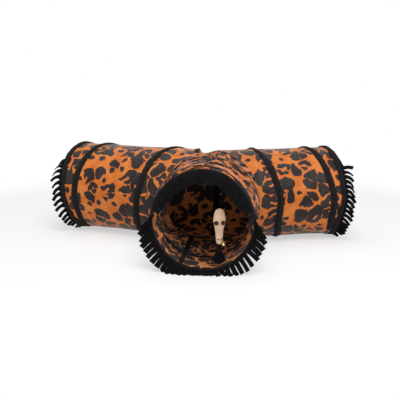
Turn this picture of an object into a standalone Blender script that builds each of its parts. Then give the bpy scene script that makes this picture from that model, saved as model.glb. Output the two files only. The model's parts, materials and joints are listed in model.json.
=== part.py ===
"""A three-way fabric cat tunnel: three sprung cloth tubes that meet at one junction.

Metres, +Z up. The tunnel rests on z = 0 and the origin is under the middle of its
bounding box. The front tube points to -Y, and the two side tubes to +X and -X, both
swept back. Each tube is drawn in its own frame: X outward along the tube, Z up, and
psi, the angle round the tube, is measured from its top towards its +Y side.
"""

import math
from collections import namedtuple

import bmesh
import bpy
from mathutils import Matrix, Vector

# Cloth tubes
tube_radius = 0.125
cloth = 0.0008
right_length = 0.345
left_length = 0.420
front_length = 0.305
side_sweep = math.radians(16)
facets = 24

# Folds of the gathered front tube
fold_count = 7
fold_depth = 0.005
fold_margin = 0.003

# Spring wire, one per tube
wire_radius = 0.0012
first_crest_side = 0.127
first_crest_front = 0.152
closing_turns = 1
easing_turns = 1
turns_past_crest = 0.813
coil_clearance = 0.0006
coil_lean = 0.0125
coil_side_lean = 0.009
front_lean_share = 0.25
right_start_turns = 0.28
left_start_turns = 0.20
front_start_turns = 0.20

# Tapes
tape = 0.0008
casing_width = 0.014
casing_crown = 0.0034
rim_tape = 0.0010
rim_width = 0.012
seam_flange = 0.006
seam_start_angle = math.radians(7.5)

# Fringe
felt = 0.0012
strip_count = 60
strip_width = 0.0125
strip_slit = 0.0006
header_width = 0.005
strip_length = 0.028
floor_clearance = 0.0006
bend_height_shares = (-1.0, -0.5, 0.0, 0.5, 1.0)
header_bends = tuple(math.radians(a) for a in (30, 40, 20, -4, -14))
strip_root_bends = tuple(math.radians(a) for a in (56, 58, 32, -26, -50))
strip_tip_bends = tuple(math.radians(a) for a in (62, 66, 38, -48, -76))

# Hanging toy
toy_offset = 0.039
loop_width = 0.005
loop_drop = 0.007
loop_inset = 0.007
loop_play = 0.0006
cord_diameter = 0.0015
cord_end_share = 0.4
cord_points = 24
tail_clearance = 0.0125
head_length = 0.0885
head_thickness = 0.012
head_half_widths = (
    0.0045, 0.0108, 0.0148, 0.0157, 0.0150, 0.0118, 0.0098, 0.0086, 0.0074, 0.0042,
)
head_drop_shares = (0.0, 0.04, 0.13, 0.25, 0.36, 0.50, 0.66, 0.82, 0.94, 1.0)
head_sides = 12
head_edge_share = 0.5
eye_radius = 0.0042
eye_depth = 0.005
eye_spread = 0.0083
eye_drop = 0.0355
nostril_radius = 0.0014
nostril_depth = 0.0024
nostril_spread = 0.0032
nostril_drop = 0.0740
tail_count = 5
tail_length = 0.042
tail_width = 0.0100
tail_tip_width = 0.0040
tail_slit = 0.0006
tail_stub = 0.006
tail_fan = math.radians(8)
ring_drop = 0.082
ring_radius = 0.0022
ring_wire = 0.00035
ring_sides = 6
bell_radius = 0.0036
bell_wall = 0.0004
bell_mouth = 0.0011
bell_steps = 6
bell_segments = 12
pellet_radius = 0.0013

# Fits
gap = 0.0003

wire_track = tube_radius + gap + wire_radius
over_wire = tube_radius + 2 * gap + 2 * wire_radius
casing_outer = over_wire + tape
rim_outer = over_wire + rim_tape
rim_inner = tube_radius - cloth - gap - rim_tape
facet_share = math.cos(math.pi / facets)
axis_height = rim_outer * facet_share
fringe_track = (over_wire + rim_inner) / 2 * (1 + facet_share) / 2

Leg = namedtuple("Leg", "name length heading ahead behind hand crest start lean folds")


def half_angle(one, other):
    """Half the angle between two tubes' headings."""
    turn = (other - one) % math.tau
    return min(turn, math.tau - turn) / 2


RIGHT_HEADING = side_sweep
LEFT_HEADING = math.pi - side_sweep
FRONT_HEADING = -math.pi / 2
SIDE_BISECTOR = half_angle(RIGHT_HEADING, FRONT_HEADING)
BACK_BISECTOR = half_angle(RIGHT_HEADING, LEFT_HEADING)

LEGS = (
    Leg("right", right_length, RIGHT_HEADING, BACK_BISECTOR, SIDE_BISECTOR, -1,
        first_crest_side, right_start_turns, 1, 0),
    Leg("left", left_length, LEFT_HEADING, SIDE_BISECTOR, BACK_BISECTOR, 1,
        first_crest_side, left_start_turns, 1, 0),
    Leg("front", front_length, FRONT_HEADING, SIDE_BISECTOR, SIDE_BISECTOR, 1,
        first_crest_front, front_start_turns, front_lean_share, fold_count),
)


def material(name, colour, roughness, metallic=0.0):
    """A plain finish for the solids."""
    finish = bpy.data.materials.new(name)
    finish.use_nodes = True
    shader = finish.node_tree.nodes["Principled BSDF"]
    shader.inputs["Base Color"].default_value = (*colour, 1)
    shader.inputs["Roughness"].default_value = roughness
    shader.inputs["Metallic"].default_value = metallic
    return finish


def clear_scene():
    """Removes whatever the scene held before."""
    for thing in list(bpy.data.objects):
        bpy.data.objects.remove(thing, do_unlink=True)


def empty(name, place=(0, 0, 0), turn=0.0, parent=None):
    """A frame for other objects, turned about Z."""
    frame = bpy.data.objects.new(name, None)
    bpy.context.scene.collection.objects.link(frame)
    frame.location = place
    frame.rotation_euler = (0, 0, turn)
    frame.parent = parent
    return frame


def add(name, data, finish, parent):
    """Links an object that holds the data under the parent."""
    thing = bpy.data.objects.new(name, data)
    data.materials.append(finish)
    bpy.context.scene.collection.objects.link(thing)
    thing.parent = parent
    return thing


def solid(name, points, faces, finish, parent, sharp=math.radians(40)):
    """One closed mesh with its faces turned outward."""
    mesh = bpy.data.meshes.new(name)
    mesh.from_pydata([tuple(p) for p in points], [], faces)
    shape = bmesh.new()
    shape.from_mesh(mesh)
    bmesh.ops.recalc_face_normals(shape, faces=shape.faces)
    if shape.calc_volume(signed=True) < 0:
        bmesh.ops.reverse_faces(shape, faces=shape.faces)
    shape.to_mesh(mesh)
    shape.free()
    mesh.shade_smooth()
    mesh.set_sharp_from_angle(angle=sharp)
    return add(name, mesh, finish, parent)


def round_point(along, psi, radius):
    """A point at an angle round a tube, in the tube's frame."""
    return Vector((along, radius * math.sin(psi), axis_height + radius * math.cos(psi)))


def loft(rings, closed_path=False):
    """Points and faces of a solid through rings of points; its ends are capped."""
    size = len(rings[0])
    points = [p for ring in rings for p in ring]
    faces = []
    steps = len(rings) if closed_path else len(rings) - 1
    for i in range(steps):
        here, there = i * size, (i + 1) % len(rings) * size
        for j in range(size):
            k = (j + 1) % size
            faces.append((here + j, here + k, there + k, there + j))
    if not closed_path:
        faces.append(tuple(range(size)))
        faces.append(tuple(range(len(points) - size, len(points))))
    return points, faces


def seam_place(leg, across):
    """Where a tube starts, this far across from its middle line."""
    bisector = leg.ahead if across >= 0 else leg.behind
    return (abs(across) * math.cos(bisector) + gap / 2) / math.sin(bisector)


def sleeve_stations():
    """Angles round a cloth tube with the radius share of each: corners and two apexes."""
    step = math.tau / facets
    corners = [((i + 0.5) * step, 1) for i in range(facets)]
    return sorted(corners + [(0, facet_share), (math.pi, facet_share)])


def sleeve_rows(leg):
    """Shares of the run from seam to gathered end, and the inward step of each row."""
    rows = 2 * leg.folds
    if not rows:
        return [(0, 0)]
    return [(i / rows, fold_depth * (i % 2)) for i in range(rows + 1)]


def sleeve(leg, finish, parent):
    """The printed cloth tube, trimmed where it meets the other two."""
    stations = sleeve_stations()
    gathered_end = leg.length - rim_width - fold_margin
    sections = []
    for psi, share in stations:
        outer = []
        start = seam_place(leg, tube_radius * share * math.sin(psi))
        for run, inward in sleeve_rows(leg):
            along = start + (gathered_end - start) * run
            outer.append((along, tube_radius * share - inward))
        outer.append((leg.length, tube_radius * share))
        inner = [(along, radius - cloth) for along, radius in reversed(outer)]
        sections.append([round_point(a, psi, r) for a, r in outer + inner])
    points, faces = loft(sections, closed_path=True)
    return solid(f"{leg.name}_sleeve", points, faces, finish, parent)


def wire_end(leg):
    """How far along its tube the wire's closed end lies."""
    return leg.length - gap - wire_radius


def wire_pitch(leg):
    """The wire's rise per turn along the open part of its tube."""
    closing = (2 * wire_radius + coil_clearance) * (closing_turns + easing_turns)
    free = turns_past_crest + 1 - easing_turns / 2
    return (wire_end(leg) - closing - leg.crest) / free


def wire_turns(leg):
    """All the wire's turns, from its inner end to the end of its closed ring."""
    return leg.start + 1 + turns_past_crest + closing_turns


def wire_place(leg, turn):
    """How far along the tube the wire is, this many turns from its inner end."""
    pitch = wire_pitch(leg)
    left = wire_turns(leg) - turn
    closing = (2 * wire_radius + coil_clearance) * left
    easing = min(max(left - closing_turns, 0), easing_turns)
    open_turns = max(left - closing_turns - easing_turns, 0)
    rise = pitch * easing * easing / (2 * easing_turns) + pitch * open_turns
    angle = math.tau * (turn - leg.start)
    fade = min(1, rise / pitch)
    lean = coil_side_lean * math.sin(angle) - coil_lean * (1 - math.cos(angle))
    return wire_end(leg) - closing - rise + leg.lean * fade * lean


def wire_stations(leg):
    """Turns at which the wire passes a corner of its tube."""
    first = math.ceil(-leg.start * facets - 0.5)
    last = math.floor((wire_turns(leg) - leg.start) * facets - 0.5)
    return [(i + 0.5) / facets + leg.start for i in range(first, last + 1)]


def wire_angle(leg, turn):
    """The angle round the tube at a turn of the wire."""
    return leg.hand * math.tau * (turn - leg.start)


def least_gap(points, radius):
    """The least clear distance between one turn of a wire and the next."""
    least = math.inf
    for i, here in enumerate(points):
        for there in points[i + facets // 2:]:
            least = min(least, (here - there).length)
    return least - 2 * radius


def coil(leg, finish, parent):
    """The spring wire: an open helix whose last turn closes into the mouth's ring."""
    points = [
        round_point(wire_place(leg, turn), wire_angle(leg, turn), wire_track)
        for turn in wire_stations(leg)
    ]
    print(f"{leg.name}_coil least gap {least_gap(points, wire_radius) * 1000:.2f} mm")
    return tube(f"{leg.name}_coil", points, wire_radius, finish, parent)


def tube(name, points, radius, finish, parent, resolution=1, end_share=1):
    """A round tube along the points; its two ends may be slimmer."""
    curve = bpy.data.curves.new(name, "CURVE")
    curve.dimensions = "3D"
    curve.bevel_depth = radius
    curve.bevel_resolution = resolution
    curve.use_fill_caps = True
    line = curve.splines.new("POLY")
    line.points.add(len(points) - 1)
    for slot, point in zip(line.points, points):
        slot.co = (*point, 1)
    line.points[0].radius = line.points[-1].radius = end_share
    line.use_smooth = True
    return add(name, curve, finish, parent)


def casing(leg, finish, parent):
    """The tape tunnel that is sewn over the wire, up to the mouth's binding."""
    foot = tube_radius + gap
    half = casing_width / 2
    crown = casing_crown / 2
    section = (
        (-half, foot + tape), (-crown, casing_outer), (crown, casing_outer), (half, foot + tape),
        (half, foot), (crown, over_wire), (-crown, over_wire), (-half, foot),
    )
    limit = leg.length - rim_width - gap - half
    rings = []
    for turn in wire_stations(leg):
        middle = wire_place(leg, turn)
        if middle > limit:
            break
        psi = wire_angle(leg, turn)
        rings.append([round_point(middle + a, psi, r) for a, r in section])
    points, faces = loft(rings)
    return solid(f"{leg.name}_wire_casing", points, faces, finish, parent)


def rim_binding(leg, finish, parent):
    """The tape folded over the mouth's edge and the wire's closed ring."""
    front = leg.length + gap
    back = leg.length - rim_width
    section = (
        (back, rim_outer), (front + rim_tape, rim_outer), (front + rim_tape, rim_inner),
        (back, rim_inner), (back, rim_inner + rim_tape), (front, rim_inner + rim_tape),
        (front, over_wire), (back, over_wire),
    )
    step = math.tau / facets
    rings = [
        [round_point(a, (i + 0.5) * step, r) - Vector((leg.length, 0, 0)) for a, r in section]
        for i in range(facets)
    ]
    points, faces = loft(rings, closed_path=True)
    return solid(f"{leg.name}_rim_binding", points, faces, finish, parent)


def between(value, places, values):
    """The value read between the points of a broken line."""
    for i in range(len(places) - 1):
        if value <= places[i + 1]:
            share = (value - places[i]) / (places[i + 1] - places[i])
            return values[i] + (values[i + 1] - values[i]) * max(share, 0)
    return values[-1]


def fringe_profile(psi):
    """Places (along, radius) from the binding to a strip's tip, at an angle round the mouth.

    The strips hang over the mouth at its top, flare at its sides and lie on the floor
    at its bottom, at their full length.
    """
    height = math.cos(psi)
    lengths = (header_width, strip_length / 2, strip_length / 2)
    bends = (header_bends, strip_root_bends, strip_tip_bends)
    along, radius = 2 * gap + rim_tape, fringe_track
    places = [(along, radius)]
    ceiling = math.inf
    if height < 0:
        ceiling = (axis_height - floor_clearance - felt / 2) / -height
    for length, bend in zip(lengths, bends):
        angle = between(height, bend_height_shares, bend)
        rise = min(length * math.sin(angle), ceiling - radius)
        radius += rise
        along += math.sqrt(length * length - rise * rise)
        places.append((along, radius))
    return places


def strip_half_angle(radius):
    """Half the angle a strip covers at this radius; its neighbours stay a slit away."""
    pitch = math.tau * radius / strip_count
    return min(strip_width, pitch - strip_slit) / radius / 2


def fringe_row(row, psi, side):
    """A point on one face of the fringe, at an angle round the mouth."""
    places = fringe_profile(psi)
    before = places[max(row - 1, 0)]
    after = places[min(row + 1, len(places) - 1)]
    run = math.hypot(after[0] - before[0], after[1] - before[1])
    normal = (-(after[1] - before[1]) / run, (after[0] - before[0]) / run)
    along = places[row][0] + side * normal[0] * felt / 2
    radius = places[row][1] + side * normal[1] * felt / 2
    if not row:
        along, radius = places[0][0], places[0][1] + side * felt / 2
    return round_point(along, psi, radius)


def fringe(leg, finish, parent):
    """A band of felt cut into strips, sewn to the mouth's binding."""
    step = math.tau / strip_count
    points, faces = [], []

    def pair(row, psi):
        points.extend((fringe_row(row, psi, 1), fringe_row(row, psi, -1)))
        return len(points) - 2

    def band(a, b, c, d):
        faces.extend(((a, b, c, d), (a + 1, d + 1, c + 1, b + 1)))

    half = strip_half_angle(fringe_track)
    edges = [(k + 0.5) * step + turn for k in range(strip_count) for turn in (-half, half)]
    sewn = [pair(0, psi) for psi in edges]
    roots = [pair(1, psi) for psi in edges]
    for i, _ in enumerate(edges):
        k = (i + 1) % len(edges)
        band(sewn[i], sewn[k], roots[k], roots[i])
        faces.append((sewn[i], sewn[i] + 1, sewn[k] + 1, sewn[k]))
        if i % 2:
            faces.append((roots[i], roots[k], roots[k] + 1, roots[i] + 1))
    for k in range(strip_count):
        left, right = roots[2 * k], roots[2 * k + 1]
        middle = (k + 0.5) * step
        for row in (2, 3):
            half = strip_half_angle(fringe_profile(middle)[row][1])
            low, high = pair(row, middle - half), pair(row, middle + half)
            band(left, right, high, low)
            faces.append((left, low, low + 1, left + 1))
            faces.append((right, right + 1, high + 1, high))
            left, right = low, high
        faces.append((left, right, right + 1, left + 1))
    return solid(f"{leg.name}_fringe", points, faces, finish, parent)


def seam_tape(name, leg, side, finish, parent):
    """The tape over the seam between a tube and its neighbour on one side."""
    step = math.tau / facets
    inner, outer = tube_radius + gap, tube_radius + gap + tape
    bisector = leg.ahead if side > 0 else leg.behind
    reflect = Matrix.Rotation(side * 2 * bisector, 3, "Z")
    rings = []
    for i in range(facets // 2):
        psi = side * (seam_start_angle + i * step)
        ring = []
        for radius in (outer, inner):
            across = radius * math.sin(psi)
            height = axis_height + radius * math.cos(psi)
            start = abs(across) / math.tan(bisector)
            near = Vector((start + seam_flange, across, height))
            middle = Vector((start, across, height))
            far = reflect @ Vector((start + seam_flange, -across, height))
            ring.append([near, middle, far])
        rings.append(ring[0] + ring[1][::-1])
    points, faces = loft(rings)
    return solid(name, points, faces, finish, parent)


def hang_reach():
    """How far from the mouth's axis the toy's cord leaves its loop."""
    return rim_inner * facet_share - gap - loop_drop


def loop_angle():
    """The angle round the mouth at which the toy's loop is sewn."""
    return math.asin(toy_offset / hang_reach())


def cord_length():
    """The toy's cord is as long as lets its tail just clear the mouth's bottom."""
    hang = hang_reach() * math.cos(loop_angle())
    bottom = math.sqrt((rim_inner * facet_share) ** 2 - toy_offset ** 2)
    toy_length = head_length + (felt + gap) / 2 + tail_length
    return hang + bottom - toy_length - tail_clearance


def toy_pivot_place():
    """The bend where the toy's cord leaves its loop, in the mouth's frame."""
    return round_point(-loop_inset, loop_angle(), hang_reach())


def toy_loop(finish, parent):
    """The tape tab inside the binding that holds the toy's cord."""
    angle = loop_angle()
    sideways = Vector((0, math.cos(angle), -math.sin(angle)))
    top = rim_inner * facet_share - gap
    rings = []
    for radius in (top, hang_reach() + loop_play):
        centre = round_point(-loop_inset, angle, radius)
        rings.append([
            centre + Vector((a * loop_width / 2, 0, 0)) + sideways * b * tape / 2
            for a, b in ((-1, -1), (1, -1), (1, 1), (-1, 1))
        ])
    points, faces = loft(rings)
    return solid("toy_loop", points, faces, finish, parent)


def toy_cord(finish, parent):
    """The thin cord that the toy hangs on, from its loop to the head."""
    run = cord_length() - gap
    points = [Vector((0, 0, -run * i / (cord_points - 1))) for i in range(cord_points)]
    return tube("toy_cord", points, cord_diameter / 2, finish, parent, 2, cord_end_share)


def cutter(name, radius, depth, place, parent):
    """A round cutter that enters the head's face at a place."""
    mesh = bpy.data.meshes.new(name)
    shape = bmesh.new()
    bmesh.ops.create_cone(
        shape, cap_ends=True, segments=head_sides, radius1=radius, radius2=radius,
        depth=2 * depth, matrix=Matrix.Rotation(math.pi / 2, 4, "Y"),
    )
    shape.to_mesh(mesh)
    shape.free()
    thing = bpy.data.objects.new(name, mesh)
    bpy.context.scene.collection.objects.link(thing)
    thing.parent = parent
    thing.location = place
    thing.hide_render = True
    thing.display_type = "WIRE"
    return thing


def head_section(half, height):
    """One level of the head: a flat oval that is slimmer near its ends."""
    deep = head_thickness / 2 * (half / max(head_half_widths)) ** head_edge_share
    return [
        Vector((deep * math.cos(a), half * math.sin(a), height))
        for a in (math.tau * i / head_sides for i in range(head_sides))
    ]


def head_half_width(drop):
    """Half the head's width, this far below its top."""
    places = [share * head_length for share in head_drop_shares]
    return between(drop, places, head_half_widths)


def toy_head(finish, parent):
    """The long-nosed animal head with two eye sockets and two nostrils."""
    rings = [
        head_section(half, -share * head_length)
        for half, share in zip(head_half_widths, head_drop_shares)
    ]
    points, faces = loft(rings)
    head = solid("toy_head", points, faces, finish, parent)
    holes = (
        ("eye", eye_radius, eye_depth, eye_spread, eye_drop),
        ("nostril", nostril_radius, nostril_depth, nostril_spread, nostril_drop),
    )
    for side in (-1, 1):
        for name, radius, depth, spread, drop in holes:
            place = (head_thickness / 2, side * spread, -drop)
            cut = head.modifiers.new(name, "BOOLEAN")
            cut.object = cutter(f"{name}_cutter", radius, depth, place, parent)
            cut.operation = "DIFFERENCE"
    return head


def toy_tail(finish, parent):
    """A felt tail cut into strips that fan out under the head."""
    pitch = tail_width / tail_count
    half = (pitch - tail_slit) / 2
    outline = [(-tail_width / 2, 0), (tail_width / 2, 0)]
    for i in reversed(range(tail_count)):
        place = i - (tail_count - 1) / 2
        turn = place * tail_fan
        middle = place * pitch
        tip = middle + math.tan(turn) * (tail_length - tail_stub)
        spread = tail_tip_width / 2
        outline.append((middle + half, -tail_stub))
        outline.append((tip + spread, -tail_length))
        outline.append((tip - spread, -tail_length))
        outline.append((middle - half, -tail_stub))
    rings = [[Vector((x, y, z)) for y, z in outline] for x in (-felt / 2, felt / 2)]
    points, faces = loft(rings)
    return solid("toy_tail", points, faces, finish, parent)


def turned(name, outline, segments, finish, parent):
    """A closed outline of (radius, height) turned about the vertical axis."""
    points, faces, rows = [], [], []
    for radius, height in outline:
        first = len(points)
        if radius:
            for i in range(segments):
                angle = math.tau * i / segments
                points.append(Vector((radius * math.cos(angle), radius * math.sin(angle), height)))
        else:
            points.append(Vector((0, 0, height)))
        rows.append((first, radius > 0))
    for (one, round_one), (other, round_other) in zip(rows, rows[1:] + rows[:1]):
        for i in range(segments):
            k = (i + 1) % segments
            if round_one and round_other:
                faces.append((one + i, one + k, other + k, other + i))
            elif round_one:
                faces.append((one + i, one + k, other))
            elif round_other:
                faces.append((one, other + k, other + i))
    return solid(name, points, faces, finish, parent)


def arc(radius, first, last, steps):
    """Points of an arc as (radius, height), by angles from the top."""
    angles = [first + (last - first) * i / steps for i in range(steps + 1)]
    return [(radius * math.sin(a), radius * math.cos(a)) for a in angles]


def bell_drop():
    """How far the bell's middle hangs below its ring's middle."""
    return ring_radius + ring_wire + gap + bell_radius


def toy_bell(finish, parent):
    """The bell's thin round shell, open at its bottom."""
    inner = bell_radius - bell_wall
    mouth = math.asin(bell_mouth / bell_radius)
    outer_arc = arc(bell_radius, 0, math.pi - mouth, bell_steps)
    inner_arc = arc(inner, math.pi - mouth, 0, bell_steps)
    outline = [(max(r, 0) if h < bell_radius else 0, h - bell_drop()) for r, h in outer_arc]
    outline += [(r if h < inner else 0, h - bell_drop()) for r, h in inner_arc[:-1]]
    outline.append((0, inner - bell_drop()))
    return turned("toy_bell", outline, bell_segments, finish, parent)


def toy_bell_pellet(finish, parent):
    """The loose pellet inside the bell."""
    low = bell_radius - bell_wall - gap - pellet_radius
    outline = [(r, h - bell_drop() - low) for r, h in arc(pellet_radius, 0, math.pi, bell_steps)]
    outline[0] = (0, outline[0][1])
    outline[-1] = (0, outline[-1][1])
    return turned("toy_bell_pellet", outline, bell_segments, finish, parent)


def toy_bell_ring(finish, parent):
    """The wire ring that ties the bell to the nose."""
    rings = []
    for i in range(bell_segments):
        turn = math.tau * i / bell_segments
        out = Vector((0, math.cos(turn), math.sin(turn)))
        rings.append([
            out * (ring_radius + ring_wire * math.cos(a)) + Vector((ring_wire * math.sin(a), 0, 0))
            for a in (math.tau * j / ring_sides for j in range(ring_sides))
        ])
    points, faces = loft(rings, closed_path=True)
    return solid("toy_bell_ring", points, faces, finish, parent)


def toy(mouth, finishes):
    """The toy that hangs inside the front mouth, with a frame at each of its bends."""
    pivot = empty("toy_pivot", toy_pivot_place(), parent=mouth)
    head = empty("toy_head_pivot", (0, 0, -cord_length()), parent=pivot)
    tail = empty("toy_tail_pivot", (0, 0, -head_length - (felt + gap) / 2), parent=head)
    across = head_half_width(ring_drop) + ring_radius + ring_wire + gap
    bell = empty("toy_bell_pivot", (0, across, -ring_drop), parent=head)
    toy_loop(finishes["tape"], mouth)
    toy_cord(finishes["cord"], pivot)
    toy_head(finishes["head"], head)
    toy_tail(finishes["felt"], tail)
    toy_bell_ring(finishes["brass"], bell)
    toy_bell(finishes["brass"], bell)
    toy_bell_pellet(finishes["steel"], bell)


def stand_over_origin(tunnel):
    """Moves the whole tunnel so that the origin is under its bounding box's middle."""
    bpy.context.view_layer.update()
    graph = bpy.context.evaluated_depsgraph_get()
    corners = []
    for thing in bpy.data.objects:
        if thing.type != "EMPTY" and not thing.hide_render:
            shape = thing.evaluated_get(graph).to_mesh()
            corners += [thing.matrix_world @ v.co for v in shape.vertices]
    for axis in (0, 1):
        values = [corner[axis] for corner in corners]
        tunnel.location[axis] = -(min(values) + max(values)) / 2


def main():
    """Builds every piece of the tunnel."""
    clear_scene()
    finishes = {
        "cloth": material("printed_cloth", (0.62, 0.16, 0.03), 0.55),
        "tape": material("black_tape", (0.02, 0.02, 0.022), 0.75),
        "felt": material("black_felt", (0.012, 0.012, 0.014), 0.9),
        "cord": material("black_cord", (0.015, 0.015, 0.017), 0.7),
        "steel": material("spring_steel", (0.35, 0.35, 0.36), 0.35, 1.0),
        "head": material("tan_wood", (0.62, 0.45, 0.30), 0.7),
        "brass": material("brass", (0.75, 0.55, 0.22), 0.25, 1.0),
    }
    tunnel = empty("tunnel")
    mouths = {}
    for leg in LEGS:
        frame = empty(f"{leg.name}_leg", turn=leg.heading, parent=tunnel)
        mouth = empty(f"{leg.name}_mouth", (leg.length, 0, 0), parent=frame)
        mouths[leg.name] = mouth
        sleeve(leg, finishes["cloth"], frame)
        coil(leg, finishes["steel"], frame)
        casing(leg, finishes["tape"], frame)
        rim_binding(leg, finishes["tape"], mouth)
        fringe(leg, finishes["felt"], mouth)
    seams = (("back_seam", 0, 1), ("front_right_seam", 2, 1), ("front_left_seam", 2, -1))
    for name, index, side in seams:
        leg = LEGS[index]
        seam_tape(name, leg, side, finishes["tape"], bpy.data.objects[f"{leg.name}_leg"])
    toy(mouths["front"], finishes)
    stand_over_origin(tunnel)


main()
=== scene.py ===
"""Three-way cat tunnel, dressed: sprung cloth tubes, fringed mouths and a hanging toy."""

import json
import logging
import math
from dataclasses import dataclass
from enum import Enum

import bmesh
import bpy
import numpy as np
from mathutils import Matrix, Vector


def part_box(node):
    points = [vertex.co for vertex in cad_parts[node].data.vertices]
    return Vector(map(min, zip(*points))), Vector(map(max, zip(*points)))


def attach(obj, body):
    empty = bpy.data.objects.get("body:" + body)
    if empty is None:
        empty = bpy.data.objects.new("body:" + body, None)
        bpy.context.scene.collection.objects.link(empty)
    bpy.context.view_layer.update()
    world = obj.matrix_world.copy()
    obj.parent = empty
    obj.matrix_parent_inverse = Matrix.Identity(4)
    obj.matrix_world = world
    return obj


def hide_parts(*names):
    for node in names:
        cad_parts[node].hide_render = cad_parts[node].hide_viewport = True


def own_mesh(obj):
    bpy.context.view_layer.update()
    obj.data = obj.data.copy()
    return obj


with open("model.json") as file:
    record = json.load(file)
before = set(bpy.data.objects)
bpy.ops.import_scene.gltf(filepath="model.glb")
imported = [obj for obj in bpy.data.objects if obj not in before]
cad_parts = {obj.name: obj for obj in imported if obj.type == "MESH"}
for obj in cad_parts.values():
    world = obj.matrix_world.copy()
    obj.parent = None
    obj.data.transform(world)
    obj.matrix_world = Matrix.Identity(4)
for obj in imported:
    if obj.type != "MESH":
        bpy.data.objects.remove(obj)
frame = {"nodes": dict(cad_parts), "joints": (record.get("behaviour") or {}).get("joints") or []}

LOG = logging.getLogger("cat_tunnel")
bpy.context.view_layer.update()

Array = np.ndarray
Piece = bpy.types.Object
Colour = tuple[float, float, float]
Place = tuple[float, float, float]
Floats = tuple[float, ...]
Profile = tuple[tuple[float, float], ...]


class Way(Enum):
    """The three tubes, by where they lead."""

    RIGHT = "right"
    LEFT = "left"
    FRONT = "front"


class Slot(Enum):
    """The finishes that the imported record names."""

    CLOTH = "printed_cloth"
    TAPE = "black_tape"
    FELT = "black_felt"
    CORD = "black_cord"
    STEEL = "spring_wire"
    WOOD = "tan_wood"
    BRASS = "brass"


@dataclass(frozen=True)
class TunnelSizes:
    """Sizes in metres that the pieces share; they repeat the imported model's."""

    tube_radius: float = 0.125
    cloth: float = 0.0008
    gap: float = 0.0003
    wire_radius: float = 0.0012
    wire_rise: float = 0.003
    wire_lean: float = 0.0125
    wire_side_lean: float = 0.009
    turns_past_crest: float = 0.813
    tape: float = 0.0008
    casing_width: float = 0.014
    rim_tape: float = 0.0010
    rim_width: float = 0.012
    seam_flange: float = 0.006
    felt: float = 0.0012
    split: float = 0.100
    closed_length: float = 0.150
    facets: int = 24

    @property
    def wire_track(self) -> float:
        """Radius of the wire's middle line."""
        return self.tube_radius + self.gap + self.wire_radius

    @property
    def over_wire(self) -> float:
        """Radius of the tape's inner side where it crosses the wire."""
        return self.wire_track + self.wire_radius + self.gap

    @property
    def over_cloth(self) -> float:
        """Radius of a tape's inner side where it lies on the cloth."""
        return self.tube_radius + self.gap

    @property
    def under_cloth(self) -> float:
        """Radius of a lining's outer side where it lies inside the cloth."""
        return self.tube_radius - self.cloth - self.gap

    @property
    def rim_outer(self) -> float:
        """Outer radius of the mouth's binding."""
        return self.over_wire + self.rim_tape

    @property
    def rim_inner(self) -> float:
        """Inner radius of the mouth's binding."""
        return self.under_cloth - self.rim_tape

    @property
    def rim_reach(self) -> float:
        """How far the binding stands out past the cloth's end."""
        return self.gap + self.rim_tape

    @property
    def axis_height(self) -> float:
        """Height of the tubes' middle lines over the floor."""
        return self.rim_outer * math.cos(math.pi / self.facets)


SIZES = TunnelSizes()
SWEEP = math.radians(16)
FRONT_LENGTH = 0.305
FRONT_SAG = 0.0060
SIDE_CASING_WIDTH = 0.019


def find_junction() -> tuple[float, float]:
    """Reads where the three tubes meet from the front mouth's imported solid.

    Returns:
        The x and y of the junction in the row frame.
    """
    low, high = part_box("front_rim_binding")
    return (low[0] + high[0]) / 2, low[1] + FRONT_LENGTH + SIZES.rim_reach


JUNCTION = find_junction()


def rise(value: Array, low: float, high: float) -> Array:
    """Rises smoothly from 0 at low to 1 at high."""
    share = np.clip((value - low) / (high - low), 0, 1)
    return share * share * (3 - 2 * share)


def mound(value: Array, middle: float, spread: float) -> Array:
    """A round bump of height 1 at its middle."""
    return np.exp(-((value - middle) / spread) ** 2)


def stacked(*axes: Array) -> Array:
    """Spreads arrays to one shape and stacks them as coordinates."""
    return np.stack(np.broadcast_arrays(*axes), axis=-1)


def settle(points: Array) -> Array:
    """Lets the floor flatten the lowest cloth, and the loose cloth sag at the junction.

    Args:
        points: places in the row frame, x, y and z last.

    Returns:
        The same places as they come to rest.
    """
    low, rest, free = -0.0016, 0.0002, 0.007
    left_edge, right_edge = (-0.041, -0.034), (-0.014, 0.024)
    middle, spread, depth = 0.02, 0.075, 0.0095
    settled = points.copy()
    z = points[..., 2]
    pressed = rest + (z - low) * (free - rest) / (free - low)
    settled[..., 2] = np.where(z < free, np.maximum(pressed, rest / 2), z)
    across = points[..., 0] - JUNCTION[0]
    dip = rise(across, *left_edge) * (1 - rise(across, *right_edge))
    away = (points[..., 1] - JUNCTION[1] - middle) / spread
    height = np.clip((z - SIZES.axis_height) / SIZES.tube_radius, 0, 1)
    settled[..., 2] -= depth * dip * np.exp(-away ** 2 / 2) * height ** 2
    return settled


@dataclass(frozen=True)
class Ripples:
    """Soft irregular waves over flat cloth, the same on every run."""

    seed: int
    size: float
    count: int = 9
    spread: tuple[float, float] = (0.7, 1.6)
    calm: float = 1.2

    def height(self, across: Array, along: Array) -> Array:
        """Reads the waves.

        Args:
            across: places across the cloth in metres.
            along: places along the cloth in metres.

        Returns:
            Heights, mostly from -1 to 1.
        """
        source = np.random.default_rng(self.seed)
        total = np.zeros(np.broadcast(across, along).shape)
        for _ in range(self.count):
            turn = source.uniform(0, math.pi)
            wave = math.tau / (self.size * source.uniform(*self.spread))
            phase = source.uniform(0, math.tau)
            total += np.sin(wave * (across * math.cos(turn) + along * math.sin(turn)) + phase)
        return total / math.sqrt(self.count) / self.calm


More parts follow.
